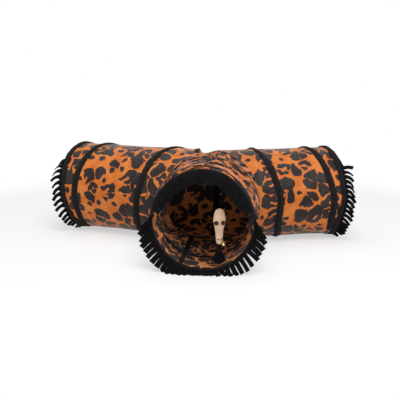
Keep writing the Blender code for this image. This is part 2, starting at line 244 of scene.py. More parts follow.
@dataclass(frozen=True)
class Leg:
    """One tube of the tunnel: its own axes, its wire's path and where its cloth starts.

    Attributes:
        way: which tube it is.
        length: how far its mouth is from the junction.
        heading: its direction, in radians from +X.
        ahead: half the angle to the next tube on its left.
        behind: half the angle to the next tube on its right.
        hand: which way round its wire winds, 1 or -1.
        crest: how far out the first casing crosses the top.
        start: the share of a turn that the wire makes before its first crest.
        lean: the share of the wire's slant.
        pull: how far the mouth is drawn along the tube, by the angle round it in degrees.
        pull_from: between which places along the tube that sets in.
        press: how far the mouth is pressed in, by the angle round it in degrees.
    """

    way: Way
    length: float
    heading: float
    ahead: float
    behind: float
    hand: int
    crest: float
    start: float
    lean: float
    pull: Profile = ((0, 0),)
    pull_from: tuple[float, float] = (0.10, 0.17)
    press: Profile = ((0, 0),)

    @property
    def name(self) -> str:
        """The tube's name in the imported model."""
        return self.way.value

    @property
    def outward(self) -> Vector:
        """The direction from the junction to the mouth."""
        return Vector((math.cos(self.heading), math.sin(self.heading), 0))

    @property
    def sideways(self) -> Vector:
        """The level direction across the tube, to its left seen from the junction."""
        return Vector((-math.sin(self.heading), math.cos(self.heading), 0))

    @property
    def rim(self) -> float:
        """How far along the tube the binding begins."""
        return self.length - SIZES.rim_width

    @property
    def wire_end(self) -> float:
        """How far along the tube the wire's closed ring ends."""
        return self.length - SIZES.gap - SIZES.wire_radius

    @property
    def pitch(self) -> float:
        """The wire's rise per turn along the open part."""
        free = SIZES.turns_past_crest + 0.5
        return (self.wire_end - 2 * SIZES.wire_rise - self.crest) / free

    @property
    def turns(self) -> float:
        """All of the wire's turns."""
        return self.start + 2 + SIZES.turns_past_crest

    @property
    def joint(self) -> str:
        """The joint that lets the mouth slide towards the junction."""
        return f"{self.name}_mouth_slide"

    @property
    def keep(self) -> float:
        """The share of its length that the soft part keeps when it is pushed flat."""
        slack = 0.85
        short = SIZES.split - slack * min(pull for _, pull in self.pull)
        return (SIZES.closed_length - short) / (self.length - short)

    @property
    def anchor(self) -> Vector:
        """The point that the soft outer part is pushed towards."""
        return Vector((*JUNCTION, SIZES.axis_height)) + self.outward * SIZES.split

    def point(self, along: Array, across: Array, height: Array) -> Array:
        """Turns places in the tube's own axes into places in the row frame."""
        x = JUNCTION[0] + along * self.outward.x + across * self.sideways.x
        y = JUNCTION[1] + along * self.outward.y + across * self.sideways.y
        return stacked(x, y, height)

    def place(self, along: Array, psi: Array, radius: Array) -> Array:
        """Finds settled places on the tube.

        Args:
            along: how far out from the junction.
            psi: the angle round the tube, from its top towards its left.
            radius: how far from the tube's middle line.

        Returns:
            Places in the row frame.
        """
        pressed_length = 0.13
        level = np.degrees((psi + math.pi) % math.tau - math.pi)
        moved = along + np.interp(level, *zip(*self.pull)) * rise(along, *self.pull_from)
        pressed = np.interp(level, *zip(*self.press))
        radius = radius - pressed * rise(along, self.length - pressed_length, self.length)
        height = SIZES.axis_height + radius * np.cos(psi)
        return settle(self.point(moved, radius * np.sin(psi), height))

    def seam(self, psi: Array, radius: float = SIZES.tube_radius) -> Array:
        """Finds how far out the cloth starts, where it meets the neighbouring tube.

        Args:
            psi: angles round the tube.
            radius: how far from the tube's middle line.

        Returns:
            The places along the tube.
        """
        across = radius * np.sin(psi)
        half = np.where(across >= 0, self.ahead, self.behind)
        return (np.abs(across) * np.cos(half) + SIZES.gap / 2) / np.sin(half)

    def wire_along(self, turn: Array) -> Array:
        """Finds how far out the wire is.

        Args:
            turn: how many turns from the wire's inner end.

        Returns:
            The places along the tube.
        """
        left = self.turns - turn
        easing = np.clip(left - 1, 0, 1)
        climb = self.pitch * (easing ** 2 / 2 + np.maximum(left - 2, 0))
        angle = math.tau * (turn - self.start)
        lean = SIZES.wire_side_lean * np.sin(angle) - SIZES.wire_lean * (1 - np.cos(angle))
        fade = self.lean * np.minimum(1, climb / self.pitch)
        return self.wire_end - SIZES.wire_rise * left - climb + fade * lean

    def wire_psi(self, turn: Array) -> Array:
        """The wire's angle round the tube at a turn."""
        return self.hand * math.tau * (turn - self.start)

    def crossings(self, psi: Array) -> list[tuple[Array, Array]]:
        """Lists where the wire's line crosses each angle round the tube.

        Args:
            psi: angles from -pi to pi.

        Returns:
            Pairs of the place along the tube and the turn, from the junction outward.
        """
        base = self.start + self.hand * psi / math.tau
        return [(self.wire_along(base + k), base + k) for k in range(-2, 4)]


def half_angle(one: float, other: float) -> float:
    """Half the angle between two headings."""
    turn = (other - one) % math.tau
    return min(turn, math.tau - turn) / 2


def make_legs() -> dict[Way, Leg]:
    """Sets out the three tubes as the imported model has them.

    Returns:
        The tubes by where they lead.
    """
    right, left, front = SWEEP, math.pi - SWEEP, -math.pi / 2
    right_pull = ((-180, -0.006), (-145, -0.006), (-120, -0.010), (-88, -0.002), (-60, -0.008),
                  (-30, -0.014), (0, -0.015), (60, -0.010), (120, -0.006), (180, -0.006))
    left_pull = ((-180, -0.016), (-90, -0.006), (0, 0.0), (65, 0.0), (95, -0.004),
                 (120, -0.014), (180, -0.016))
    front_press = ((-180, 0), (-100, 0), (-75, 0.0020), (-45, 0.0055), (0, FRONT_SAG),
                   (24, FRONT_SAG), (52, 0.0088), (70, 0.0075), (88, 0.003), (102, 0), (180, 0))
    side, back = half_angle(right, front), half_angle(right, left)
    return {
        Way.RIGHT: Leg(
            Way.RIGHT, 0.345, right, back, side, -1, 0.127, 0.28, 1, right_pull, (0.10, 0.14)),
        Way.LEFT: Leg(
            Way.LEFT, 0.420, left, side, back, 1, 0.127, 0.20, 1, left_pull, (0.20, 0.40)),
        Way.FRONT: Leg(
            Way.FRONT, FRONT_LENGTH, front, side, side, 1, 0.152, 0.20, 0.25, press=front_press),
    }


def add_object(name: str, data: bpy.types.ID) -> Piece:
    """Makes an object from its data and links it to the scene."""
    thing = bpy.data.objects.new(name, data)
    bpy.context.scene.collection.objects.link(thing)
    return thing


def closed(path: list[tuple[float, float]]) -> Array:
    """A closed outline as an array, with the first point repeated for its chart."""
    return np.array(path + path[:1])


class PieceMesh:
    """Gathers grids of points into one piece."""

    def __init__(self, name: str) -> None:
        """Starts without points.

        Args:
            name: the piece's name.
        """
        self.name = name
        self.points: list[Array] = []
        self.faces: list[list[int]] = []
        self.charts: list[Array] = []
        self.marks: list[Array] = []
        self.count = 0

    def grid(
        self, points: Array, charts: Array, wrap_rows: bool = False, marks: Array | None = None
    ) -> "PieceMesh":
        """Adds rows of closed rings, wrapped into a torus or capped at both ends.

        Args:
            points: places as (rows, columns, 3); each row is a closed ring.
            charts: flat places as (rows, columns, 2), with one more row or column where
                the grid wraps.
            wrap_rows: whether the last row joins the first.
            marks: a value for each point, kept as the attribute "mark".

        Returns:
            The piece itself.
        """
        rows, columns = points.shape[:2]
        spans = rows if wrap_rows else rows - 1
        r, c = np.meshgrid(np.arange(spans), np.arange(columns), indexing="ij")
        r2, c2 = (r + 1) % rows, (c + 1) % columns
        index = self.count + np.stack(
            [r * columns + c, r * columns + c2, r2 * columns + c2, r2 * columns + c], axis=-1
        )
        flat = np.stack(
            [charts[r, c], charts[r, c + 1], charts[r + 1, c + 1], charts[r + 1, c]], axis=2
        )
        self.faces += index.reshape(-1, 4).tolist()
        self.charts.append(flat.reshape(-1, 2))
        if not wrap_rows:
            for row in (0, rows - 1):
                first = self.count + row * columns
                self.faces.append(list(range(first, first + columns)))
                self.charts.append(charts[row, :columns].reshape(-1, 2))
        self.points.append(points.reshape(-1, 3))
        self.marks.append(np.zeros(rows * columns) if marks is None else marks.reshape(-1))
        self.count += rows * columns
        return self

    def build(self, finish: bpy.types.Material, sharp: float = 50) -> Piece:
        """Makes the object, with its faces turned outward and its flat chart as UVs.

        Args:
            finish: the piece's material.
            sharp: the angle in degrees above which an edge stays sharp.

        Returns:
            The new object.
        """
        mesh = bpy.data.meshes.new(self.name)
        mesh.from_pydata(np.concatenate(self.points).tolist(), [], self.faces)
        layer = mesh.uv_layers.new(name="flat")
        layer.data.foreach_set("uv", np.concatenate(self.charts).astype(np.float32).ravel())
        mark = mesh.attributes.new("mark", "FLOAT", "POINT")
        mark.data.foreach_set("value", np.concatenate(self.marks).astype(np.float32))
        shape = bmesh.new()
        shape.from_mesh(mesh)
        bmesh.ops.recalc_face_normals(shape, faces=shape.faces)
        shape.to_mesh(mesh)
        shape.free()
        mesh.shade_smooth()
        mesh.set_sharp_from_angle(angle=math.radians(sharp))
        mesh.materials.append(finish)
        return add_object(self.name, mesh)


def report(piece: Piece, slot: Slot, *nodes: str) -> None:
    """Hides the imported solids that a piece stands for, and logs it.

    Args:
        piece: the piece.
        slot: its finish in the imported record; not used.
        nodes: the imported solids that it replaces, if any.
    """
    if nodes:
        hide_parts(*nodes)
    LOG.info("%s: %s", piece.name, ", ".join(nodes) or "added detail")


def fold_up(piece: Piece) -> None:
    """Puts a soft piece on the junction's body with a mesh of its own.

    Args:
        piece: the piece, which stays on the junction's body.
    """
    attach(piece, "junction")
    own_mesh(piece)


class NodeSheet:
    """Places and links shader nodes in one tree."""

    def __init__(self, tree: bpy.types.NodeTree) -> None:
        """Starts at the first free place of a material's, the world's or a group's tree."""
        self.tree = tree
        self.count = 0

    def add(self, kind: str, **settings: object) -> bpy.types.Node:
        """Adds a node.

        Args:
            kind: the node's type.
            settings: its settings by name.

        Returns:
            The node.
        """
        node = self.tree.nodes.new(kind)
        node.location = (190 * (self.count % 8), -230 * (self.count // 8))
        self.count += 1
        for key, value in settings.items():
            setattr(node, key, value)
        return node

    def feed(self, socket: bpy.types.NodeSocket, source: object) -> None:
        """Links a socket to its source, or sets it to a plain value.

        Args:
            socket: the input to feed.
            source: an output, a number, a vector or a colour without its alpha; None
                leaves the input as it is.
        """
        if isinstance(source, bpy.types.NodeSocket):
            self.tree.links.new(source, socket)
        elif source is not None:
            socket.default_value = (*source, 1) if socket.type == "RGBA" else source

    def wire(
        self, kind: str, feeds: dict[int | str, object], **settings: object
    ) -> bpy.types.NodeOutputs:
        """Adds a node and feeds its inputs.

        Args:
            kind: the node's type.
            feeds: a source or plain value for each input, by number or name.
            settings: the node's settings by name.

        Returns:
            The node's outputs.
        """
        node = self.add(kind, **settings)
        for key, source in feeds.items():
            self.feed(node.inputs[key], source)
        return node.outputs

    def calc(self, operation: str, *values: object) -> bpy.types.NodeSocket:
        """One step of arithmetic on values or sockets."""
        return self.wire("ShaderNodeMath", dict(enumerate(values)), operation=operation)[0]

    def shift(self, operation: str, *values: object) -> bpy.types.NodeSocket:
        """One step of vector arithmetic; lengths come out as a value."""
        names = (0, "Scale") if operation == "SCALE" else (0, 1)
        out = self.wire("ShaderNodeVectorMath", dict(zip(names, values)), operation=operation)
        return out["Value" if operation in ("LENGTH", "DOT_PRODUCT") else "Vector"]

    def split(self, source: object, kind: str = "XYZ") -> list[bpy.types.NodeSocket]:
        """Takes the three parts of a vector or a colour apart."""
        return list(self.wire(f"ShaderNodeSeparate{kind}", {0: source}))

    def noise(self, place: object, scale: float, detail: float = 2) -> bpy.types.NodeOutputs:
        """The outputs of a noise texture, first its value and then its colour."""
        return self.wire("ShaderNodeTexNoise",
                         {"Vector": place, "Scale": scale, "Detail": detail})

    def cells(self, place: object, scale: object, feature: str = "F1") -> bpy.types.NodeOutputs:
        """The outputs of a flat Voronoi texture over a place in metres."""
        return self.wire("ShaderNodeTexVoronoi", {"Vector": place, "Scale": scale},
                         feature=feature, voronoi_dimensions="2D")

    def step(self, value: object, low: object, high: object) -> bpy.types.NodeSocket:
        """Rises smoothly from 0 at low to 1 at high."""
        feeds = {"Value": value, "From Min": low, "From Max": high}
        return self.wire("ShaderNodeMapRange", feeds, interpolation_type="SMOOTHSTEP")["Result"]

    def ridge(self, waves: object, width: float) -> bpy.types.NodeSocket:
        """Is 1 along the lines where waves cross their middle, and 0 beside them."""
        away = self.calc("ABSOLUTE", self.calc("SUBTRACT", waves, 0.5))
        return self.calc("SUBTRACT", 1.0, self.step(away, 0.0, width))

    def blend(self, share: object, one: object, other: object) -> bpy.types.NodeSocket:
        """Mixes two colours."""
        return self.wire("ShaderNodeMix", {0: share, 6: one, 7: other}, data_type="RGBA")[2]

    def bump(self, height: object, depth: float, normal: object = None) -> bpy.types.NodeSocket:
        """Turns a height into a normal; depth is in metres."""
        feeds = {"Distance": depth, "Height": height, "Normal": normal}
        return self.wire("ShaderNodeBump", feeds)["Normal"]

    def group(self, tree: bpy.types.NodeTree, **values: object) -> bpy.types.NodeOutputs:
        """Places a node group with its own values and gives its outputs."""
        return self.wire("ShaderNodeGroup", values, node_tree=tree)

    def chart(self) -> bpy.types.NodeSocket:
        """The flat place on a sheet or tape in metres."""
        return self.add("ShaderNodeUVMap", uv_map="flat").outputs[0]

    def own_place(self) -> bpy.types.NodeSocket:
        """The place in the piece's own axes."""
        return self.add("ShaderNodeTexCoord").outputs["Object"]

    def mark(self) -> bpy.types.NodeSocket:
        """The value that the mesh keeps at each point."""
        return self.add("ShaderNodeAttribute", attribute_name="mark").outputs["Fac"]


def new_group(
    name: str, given: list[str], out: list[str]
) -> tuple[NodeSheet, bpy.types.NodeOutputs, bpy.types.NodeInputs]:
    """Starts a shader node group that reads a place, called Vector.

    Args:
        name: the group's name.
        given: the names of the numbers that it is given besides.
        out: the names of the numbers that it puts out.

    Returns:
        The group's sheet, what it is given and what it puts out.
    """
    tree = bpy.data.node_groups.new(name, "ShaderNodeTree")
    tree.interface.new_socket("Vector", in_out="INPUT", socket_type="NodeSocketVector")
    for way, keys in (("INPUT", given), ("OUTPUT", out)):
        for key in keys:
            tree.interface.new_socket(key, in_out=way, socket_type="NodeSocketFloat")
    sheet = NodeSheet(tree)
    return sheet, sheet.add("NodeGroupInput").outputs, sheet.add("NodeGroupOutput").inputs


class Effects:
    """The shader node groups that several finishes share."""

    def __init__(self) -> None:
        """Builds each group once."""
        self.print = self.leopard_print()
        self.weave = self.plain_weave()
        self.creases = self.soft_creases()
        self.gathers = self.ring_gathers()
        self.fibres = self.loose_fibres()
        self.stitches = self.stitch_rows()

    @staticmethod
    def leopard_print() -> bpy.types.NodeTree:
        """Irregular blobs, some notched into hooks, with small dots between them.

        Returns:
            The group: where the spots are, and a soft halo round them.
        """
        sheet, given, out = new_group("leopard_print", ["Cell"], ["Spots", "Halo"])
        bends = ((36, 0.019), (130, 0.0048))
        crowding, crowd_border = 24, (-0.022, 0.0125)
        small_share, large_reach, small_reach = 0.22, (0.0118, 0.0095), (0.0064, 0.0030)
        whole_share, notch_half, soft_spot, soft_notch = 0.48, 0.0033, 0.007, 0.002
        fray, fray_depth, ink_edge, halo = 210, (0.003, -0.0015), 0.0003, 0.0026
        flat, cell, half, level = given["Vector"], given["Cell"], (0.5, 0.5, 0.5), (1, 1, 0)
        place = flat
        for scale, bend in bends:
            drift = sheet.shift("SUBTRACT", sheet.noise(flat, scale)[1], half)
            place = sheet.shift("ADD", place, sheet.shift("SCALE", drift, bend))
        density = sheet.calc("DIVIDE", 1.0, cell)
        edges = sheet.cells(place, density, "DISTANCE_TO_EDGE")
        middle = sheet.cells(place, density)
        size_chance, reach_chance, hook_chance = sheet.split(middle["Color"], "Color")

        crowd = sheet.noise(flat, crowding, 1)[0]
        border = sheet.calc("MULTIPLY_ADD", crowd, *crowd_border)
        body = sheet.calc("SUBTRACT", sheet.calc("MULTIPLY", edges["Distance"], cell), border)
        large = sheet.calc("GREATER_THAN", size_chance, small_share)
        least, more = (sheet.calc("MULTIPLY_ADD", large, extra, base)
                       for extra, base in zip(large_reach, small_reach))
        reach = sheet.calc("ADD", least, sheet.calc("MULTIPLY", reach_chance, more))
        bulge = sheet.calc("SUBTRACT", reach, sheet.calc("MULTIPLY", middle["Distance"], cell))
        body = sheet.calc("SMOOTH_MIN", body, bulge, soft_spot)

        aim = sheet.shift("MULTIPLY", sheet.shift("SUBTRACT", middle["Color"], half), level)
        aim = sheet.shift("NORMALIZE", aim)
        off = sheet.shift("MULTIPLY", sheet.shift("SUBTRACT", place, middle["Position"]), level)
        ahead = sheet.calc("MAXIMUM", sheet.shift("DOT_PRODUCT", off, aim), 0.0)
        far = sheet.shift("LENGTH", off)
        squared = sheet.calc("SUBTRACT", sheet.calc("MULTIPLY", far, far),
                             sheet.calc("MULTIPLY", ahead, ahead))
        beside = sheet.calc("SQRT", sheet.calc("MAXIMUM", squared, 0.0))
        hooked = sheet.calc("MULTIPLY", large, hook_chance)
        whole = sheet.calc("LESS_THAN", hooked, whole_share)
        notch = sheet.calc("ADD", sheet.calc("SUBTRACT", beside, notch_half), whole)
        body = sheet.calc("SMOOTH_MIN", body, notch, soft_notch)
        ragged = sheet.calc("MULTIPLY_ADD", sheet.noise(flat, fray, 1)[0], *fray_depth)
        body = sheet.calc("ADD", body, ragged)
        sheet.feed(out["Spots"], sheet.step(body, -ink_edge, ink_edge))
        sheet.feed(out["Halo"], sheet.step(body, -halo, 0.0))
        return sheet.tree

    @staticmethod
    def plain_weave() -> bpy.types.NodeTree:
        """Threads over and under each other, seen from a flat place in metres.

        Returns:
            The group: the threads' height.
        """
        sheet, given, out = new_group("plain_weave", ["Thread"], ["Height"])
        turn = sheet.calc("DIVIDE", math.pi, given["Thread"])
        one, other = (sheet.calc("SINE", sheet.calc("MULTIPLY", axis, turn))
                      for axis in sheet.split(given["Vector"])[:2])
        height = sheet.calc("MULTIPLY_ADD", sheet.calc("MULTIPLY", one, other), 0.5, 0.5)
        sheet.feed(out["Height"], height)
        return sheet.tree

    @staticmethod
    def soft_creases() -> bpy.types.NodeTree:
        """Handling creases in thin cloth: broad dents and a few sharp lines.

        Returns:
            The group: the creases' height, and a tone that varies with the dents.
        """
        sheet, given, out = new_group("soft_creases", ["Size"], ["Height", "Tone"])
        place = sheet.shift("SCALE", given["Vector"], sheet.calc("DIVIDE", 1.0, given["Size"]))
        broad = sheet.noise(place, 1.0, 3)[0]
        lines = sheet.noise(sheet.shift("ADD", place, (4.1, 2.7, 0)), 0.7, 4)[0]
        height = sheet.calc("MULTIPLY_ADD", sheet.ridge(lines, 0.10), 0.35, broad)
        sheet.feed(out["Height"], height)
        sheet.feed(out["Tone"], broad)
        return sheet.tree

    @staticmethod
    def ring_gathers() -> bpy.types.NodeTree:
        """Fine gathers that run round a tube of bunched cloth.

        Returns:
            The group: the gathers' height, and where their crests get a painted highlight.
        """
        sheet, given, out = new_group("ring_gathers", [], ["Height", "Crest"])
        per_metre = (2.2, 27, 0)
        waves = sheet.noise(sheet.shift("MULTIPLY", given["Vector"], per_metre), 1.0, 3)[0]
        ridge = sheet.ridge(waves, 0.16)
        sheet.feed(out["Height"], sheet.calc("MULTIPLY_ADD", ridge, 0.5, waves))
        # Where the painted highlight goes: the thin middle of each crest.
        sheet.feed(out["Crest"], sheet.step(ridge, 0.84, 0.99))
        return sheet.tree

    @staticmethod
    def loose_fibres() -> bpy.types.NodeTree:
        """The matted fibres of felt and of worn tape.

        Returns:
            The group: the fibres' height and their tone.
        """
        sheet, given, out = new_group("loose_fibres", ["Size"], ["Height", "Tone"])
        place = sheet.shift("SCALE", given["Vector"], sheet.calc("DIVIDE", 1.0, given["Size"]))
        bent = sheet.shift("ADD", place, sheet.noise(place, 0.7)[1])
        stretch = (1.0, 0.22, 1.0)
        strands = sheet.noise(sheet.shift("MULTIPLY", bent, stretch), 1.3, 5)[0]
        patches = sheet.calc("MULTIPLY", sheet.noise(place, 0.12, 3)[0], 0.55)
        sheet.feed(out["Height"], strands)
        sheet.feed(out["Tone"], sheet.calc("MULTIPLY_ADD", strands, 0.45, patches))
        return sheet.tree

    @staticmethod
    def stitch_rows() -> bpy.types.NodeTree:
        """Thread dashes in a row at each side of a tape, at a given place from its middle.

        Returns:
            The group: where the thread is.
        """
        sheet, given, out = new_group("stitch_rows", ["Row"], ["Thread"])
        across, along, _ = sheet.split(given["Vector"])
        off = sheet.calc("SUBTRACT", sheet.calc("ABSOLUTE", across), given["Row"])
        off = sheet.calc("ABSOLUTE", off)
        thread_edge, stitch, space = (0.00018, 0.00038), 0.0021, (0.0004, 0.0006)
        line = sheet.calc("SUBTRACT", 1.0, sheet.step(off, *thread_edge))
        dash = sheet.step(sheet.calc("PINGPONG", along, stitch), *space)
        sheet.feed(out["Thread"], sheet.calc("MULTIPLY", line, dash))
        return sheet.tree


class Finish:
    """A material in the making: its sheet of nodes and its Principled shader."""

    def __init__(self, name: str) -> None:
        """Starts the material with its shader.

        Args:
            name: the material's name.
        """
        self.material = bpy.data.materials.new(name)
        self.material.use_nodes = True
        self.sheet = NodeSheet(self.material.node_tree)
        self.shader = self.material.node_tree.nodes["Principled BSDF"]

    def done(self, **values: object) -> bpy.types.Material:
        """Feeds the shader's own sockets and gives the material.

        Args:
            values: a source or plain value for each socket; underscores in the name
                stand for spaces.

        Returns:
            The material.
        """
        for key, value in values.items():
            self.sheet.feed(self.shader.inputs[key.replace("_", " ")], value)
        return self.material


@dataclass(frozen=True)
class PrintedCloth:
    """Thin smooth polyester with an orange and charcoal leopard print, with painted shade and
    painted highlights on its gathers.
    """

    ground: Colour = (0.57, 0.135, 0.018)
    warm: Colour = (0.66, 0.205, 0.044)
    spots: Colour = (0.018, 0.0135, 0.0128)
    faded: Colour = (0.034, 0.026, 0.025)
    halo: Colour = (0.33, 0.07, 0.02)
    # Painted shade, laid into the dips of the gathers.
    crease_shade: Colour = (0.030, 0.014, 0.011)
    # Painted highlight, laid on the crests of the gathers.
    crest: Colour = (0.80, 0.47, 0.38)
    # The inner face is paler: partly the print's paler back, partly painted light that stands in
    # for light shining through the thin cloth.
    inside_ground: Colour = (0.80, 0.30, 0.095)
    inside_spots: Colour = (0.040, 0.036, 0.040)
    sheen: Colour = (1.0, 0.72, 0.66)
    cell: float = 0.035
    crease_size: float = 0.034
    thread: float = 0.00045
    halo_share: float = 0.22
    crease_shade_share: float = 0.90
    crest_highlight_share: float = 0.24
    gather_depth: float = 0.0075
    crease_depth: float = 0.0012
    thread_depth: float = 0.00006

    def make(self, effects: Effects) -> bpy.types.Material:
        """Builds the material over the cloth's flat chart.

        Args:
            effects: the shared node groups.

        Returns:
            The material; the mesh's marks say how much the cloth is gathered, and marks
            below 0 are its inner face.
        """
        finish = Finish("printed_cloth")
        sheet = finish.sheet
        flat = sheet.chart()
        print_ = sheet.group(effects.print, Vector=flat, Cell=self.cell)
        creases = sheet.group(effects.creases, Vector=flat, Size=self.crease_size)
        weave = sheet.group(effects.weave, Vector=flat, Thread=self.thread)
        gathers = sheet.group(effects.gathers, Vector=flat)
        mark = sheet.mark()
        bunched = sheet.calc("ABSOLUTE", mark)
        inside = sheet.calc("LESS_THAN", mark, -0.0005)
        tone = sheet.step(creases["Tone"], 0.36, 0.64)
        ground = sheet.blend(tone, self.ground, self.warm)
        # Paler inner face, partly painted light.
        ground = sheet.blend(inside, ground, self.inside_ground)
        edge = sheet.calc("MULTIPLY", print_["Halo"], self.halo_share)
        ground = sheet.blend(edge, ground, self.halo)
        dark = sheet.blend(tone, self.spots, self.faded)
        dark = sheet.blend(inside, dark, self.inside_spots)
        colour = sheet.blend(print_["Spots"], ground, dark)
        # Painted shade darkens the gathers' dips and a painted highlight lightens their crests;
        # both weaken where the cloth is less gathered.
        dip = sheet.calc("SUBTRACT", 1.0, sheet.step(gathers["Height"], 0.58, 0.96))
        for place, share, tint in ((dip, self.crease_shade_share, self.crease_shade),
                                   (gathers["Crest"], self.crest_highlight_share, self.crest)):
            share = sheet.calc("MULTIPLY", sheet.calc("MULTIPLY", place, bunched), share)
            colour = sheet.blend(share, colour, tint)
        rough = sheet.calc("MULTIPLY_ADD", print_["Spots"], -0.04, 0.42)
        gathered = sheet.calc("MULTIPLY", gathers["Height"], bunched)
        normal = sheet.bump(creases["Height"], self.crease_depth)
        normal = sheet.bump(gathered, self.gather_depth, normal)
        normal = sheet.bump(weave["Height"], self.thread_depth, normal)
        return finish.done(Base_Color=colour, Roughness=rough, Normal=normal,
                           Specular_IOR_Level=0.16, Sheen_Weight=0.24, Sheen_Roughness=0.32,
                           Sheen_Tint=self.sheen)


@dataclass(frozen=True)
class WovenTape:
    """Black woven tape with a row of stitches near each side."""

    name: str = "black_tape"
    row: float = 0.0052
    dark: Colour = (0.0075, 0.0064, 0.0066)
    pale: Colour = (0.020, 0.0165, 0.0170)
    stitch: Colour = (0.032, 0.031, 0.033)
    thread: float = 0.0009
    fibre: float = 0.0012
    stitch_height: float = 1.4
    depth: float = 0.00018

    def make(self, effects: Effects) -> bpy.types.Material:
        """Builds the material over the tape's flat chart, across and along.

        Args:
            effects: the shared node groups.

        Returns:
            The material.
        """
        finish = Finish(self.name)
        sheet = finish.sheet
        flat = sheet.chart()
        weave = sheet.group(effects.weave, Vector=flat, Thread=self.thread)
        fibres = sheet.group(effects.fibres, Vector=flat, Size=self.fibre)
        thread = sheet.group(effects.stitches, Vector=flat, Row=self.row)["Thread"]
        tone = sheet.step(fibres["Tone"], 0.34, 0.68)
        colour = sheet.blend(thread, sheet.blend(tone, self.dark, self.pale), self.stitch)
        height = sheet.calc("MULTIPLY_ADD", thread, self.stitch_height, weave["Height"])
        rough = sheet.calc("MULTIPLY_ADD", tone, 0.12, 0.72)
        return finish.done(Base_Color=colour, Roughness=rough,
                           Normal=sheet.bump(height, self.depth),
                           Specular_IOR_Level=0.07, Sheen_Weight=0.03, Sheen_Roughness=0.4)


@dataclass(frozen=True)
class Felt:
    """Black felt with matted fibres."""

    dark: Colour = (0.0030, 0.0028, 0.0032)
    pale: Colour = (0.0095, 0.0088, 0.0094)
    fibre: float = 0.0009
    depth: float = 0.0003

    def make(self, effects: Effects) -> bpy.types.Material:
        """Builds the material over the felt's flat chart.

        Args:
            effects: the shared node groups.

        Returns:
            The material.
        """
        finish = Finish("black_felt")
        sheet = finish.sheet
        fibres = sheet.group(effects.fibres, Vector=sheet.chart(), Size=self.fibre)
        tone = sheet.step(fibres["Tone"], 0.32, 0.70)
        return finish.done(Base_Color=sheet.blend(tone, self.dark, self.pale),
                           Roughness=sheet.calc("MULTIPLY_ADD", tone, 0.1, 0.84),
                           Normal=sheet.bump(fibres["Height"], self.depth),
                           Specular_IOR_Level=0.03, Sheen_Weight=0.02, Sheen_Roughness=0.5)


@dataclass(frozen=True)
class Yarn:
    """Twisted black elastic yarn."""

    colour: Colour = (0.0035, 0.0035, 0.004)
    worn: Colour = (0.009, 0.009, 0.010)
    twist: float = 0.0016
    uneven: float = 0.6
    depth: float = 0.0002

    def make(self) -> bpy.types.Material:
        """Builds the material with a spiral twist about the vertical.

        Returns:
            The material.
        """
        finish = Finish("black_yarn")
        sheet = finish.sheet
        feeds = {"Vector": sheet.own_place(), "Scale": 1 / self.twist / math.tau * 2,
                 "Distortion": self.uneven}
        tone = sheet.wire("ShaderNodeTexWave", feeds, bands_direction="DIAGONAL")["Fac"]
        return finish.done(Base_Color=sheet.blend(tone, self.colour, self.worn), Roughness=0.8,
                           Normal=sheet.bump(tone, self.depth), Specular_IOR_Level=0.05)


@dataclass(frozen=True)
class Metal:
    """A metal with light handling marks."""

    name: str
    colour: Colour
    worn: Colour
    roughness: float
    grain: float = 700
    depth: float = 0.00003

    def make(self) -> bpy.types.Material:
        """Builds the material from the piece's own place.

        Returns:
            The material.
        """
        finish = Finish(self.name)
        sheet = finish.sheet
        marks = sheet.noise(sheet.own_place(), self.grain, 4)[0]
        tone = sheet.step(marks, 0.35, 0.7)
        return finish.done(Base_Color=sheet.blend(tone, self.colour, self.worn), Metallic=1.0,
                           Roughness=sheet.calc("MULTIPLY_ADD", tone, 0.14, self.roughness),
                           Normal=sheet.bump(marks, self.depth))


@dataclass(frozen=True)
class TanWood:
    """Bare tan wood with a faint grain; the holes get painted shade inside."""

    pale: Colour = (0.66, 0.455, 0.315)
    grain: Colour = (0.54, 0.345, 0.225)
    hole_shade: Colour = (0.030, 0.018, 0.013)
    fibre: float = 0.0014
    depth: float = 0.00012

    def make(self, effects: Effects) -> bpy.types.Material:
        """Builds the material; the mesh's marks say where painted shade darkens the holes.

        Args:
            effects: the shared node groups.

        Returns:
            The material.
        """
        finish = Finish("tan_wood")
        sheet = finish.sheet
        place = sheet.own_place()
        lengthwise = sheet.shift("MULTIPLY", place, (1.0, 1.0, 0.10))
        rings = sheet.noise(lengthwise, 520, 4)[0]
        spots = sheet.noise(place, 90)[0]
        mixed = sheet.calc("MULTIPLY_ADD", spots, 0.5, sheet.calc("MULTIPLY", rings, 0.5))
        tone = sheet.step(mixed, 0.38, 0.66)
        # Painted shade: the marks darken the holes' insides to near black.
        colour = sheet.blend(sheet.mark(), sheet.blend(tone, self.pale, self.grain), self.hole_shade)
        fibres = sheet.group(effects.fibres, Vector=place, Size=self.fibre)
        height = sheet.calc("MULTIPLY_ADD", fibres["Height"], 0.4, rings)
        return finish.done(Base_Color=colour, Normal=sheet.bump(height, self.depth),
                           Roughness=sheet.calc("MULTIPLY_ADD", tone, 0.1, 0.66),
                           Specular_IOR_Level=0.35)


@dataclass(frozen=True)
class Finishes:
    """Every finish of the tunnel, ready to use."""

    cloth: bpy.types.Material
    tape: bpy.types.Material
    rim_tape: bpy.types.Material
    felt: bpy.types.Material
    yarn: bpy.types.Material
    steel: bpy.types.Material
    wood: bpy.types.Material
    brass: bpy.types.Material


def make_finishes() -> Finishes:
    """Builds the shared effects and then each finish once.

    Returns:
        The finishes.
    """
    effects = Effects()
    return Finishes(
        cloth=PrintedCloth().make(effects),
        tape=WovenTape().make(effects),
        rim_tape=WovenTape("black_rim_tape", row=0.0085).make(effects),
        felt=Felt().make(effects),
        yarn=Yarn().make(),
        steel=Metal("spring_steel", (0.36, 0.36, 0.37), (0.24, 0.24, 0.25), 0.30).make(),
        wood=TanWood().make(effects),
        brass=Metal("brass", (0.98, 0.74, 0.30), (0.88, 0.60, 0.20), 0.28).make(),
    )


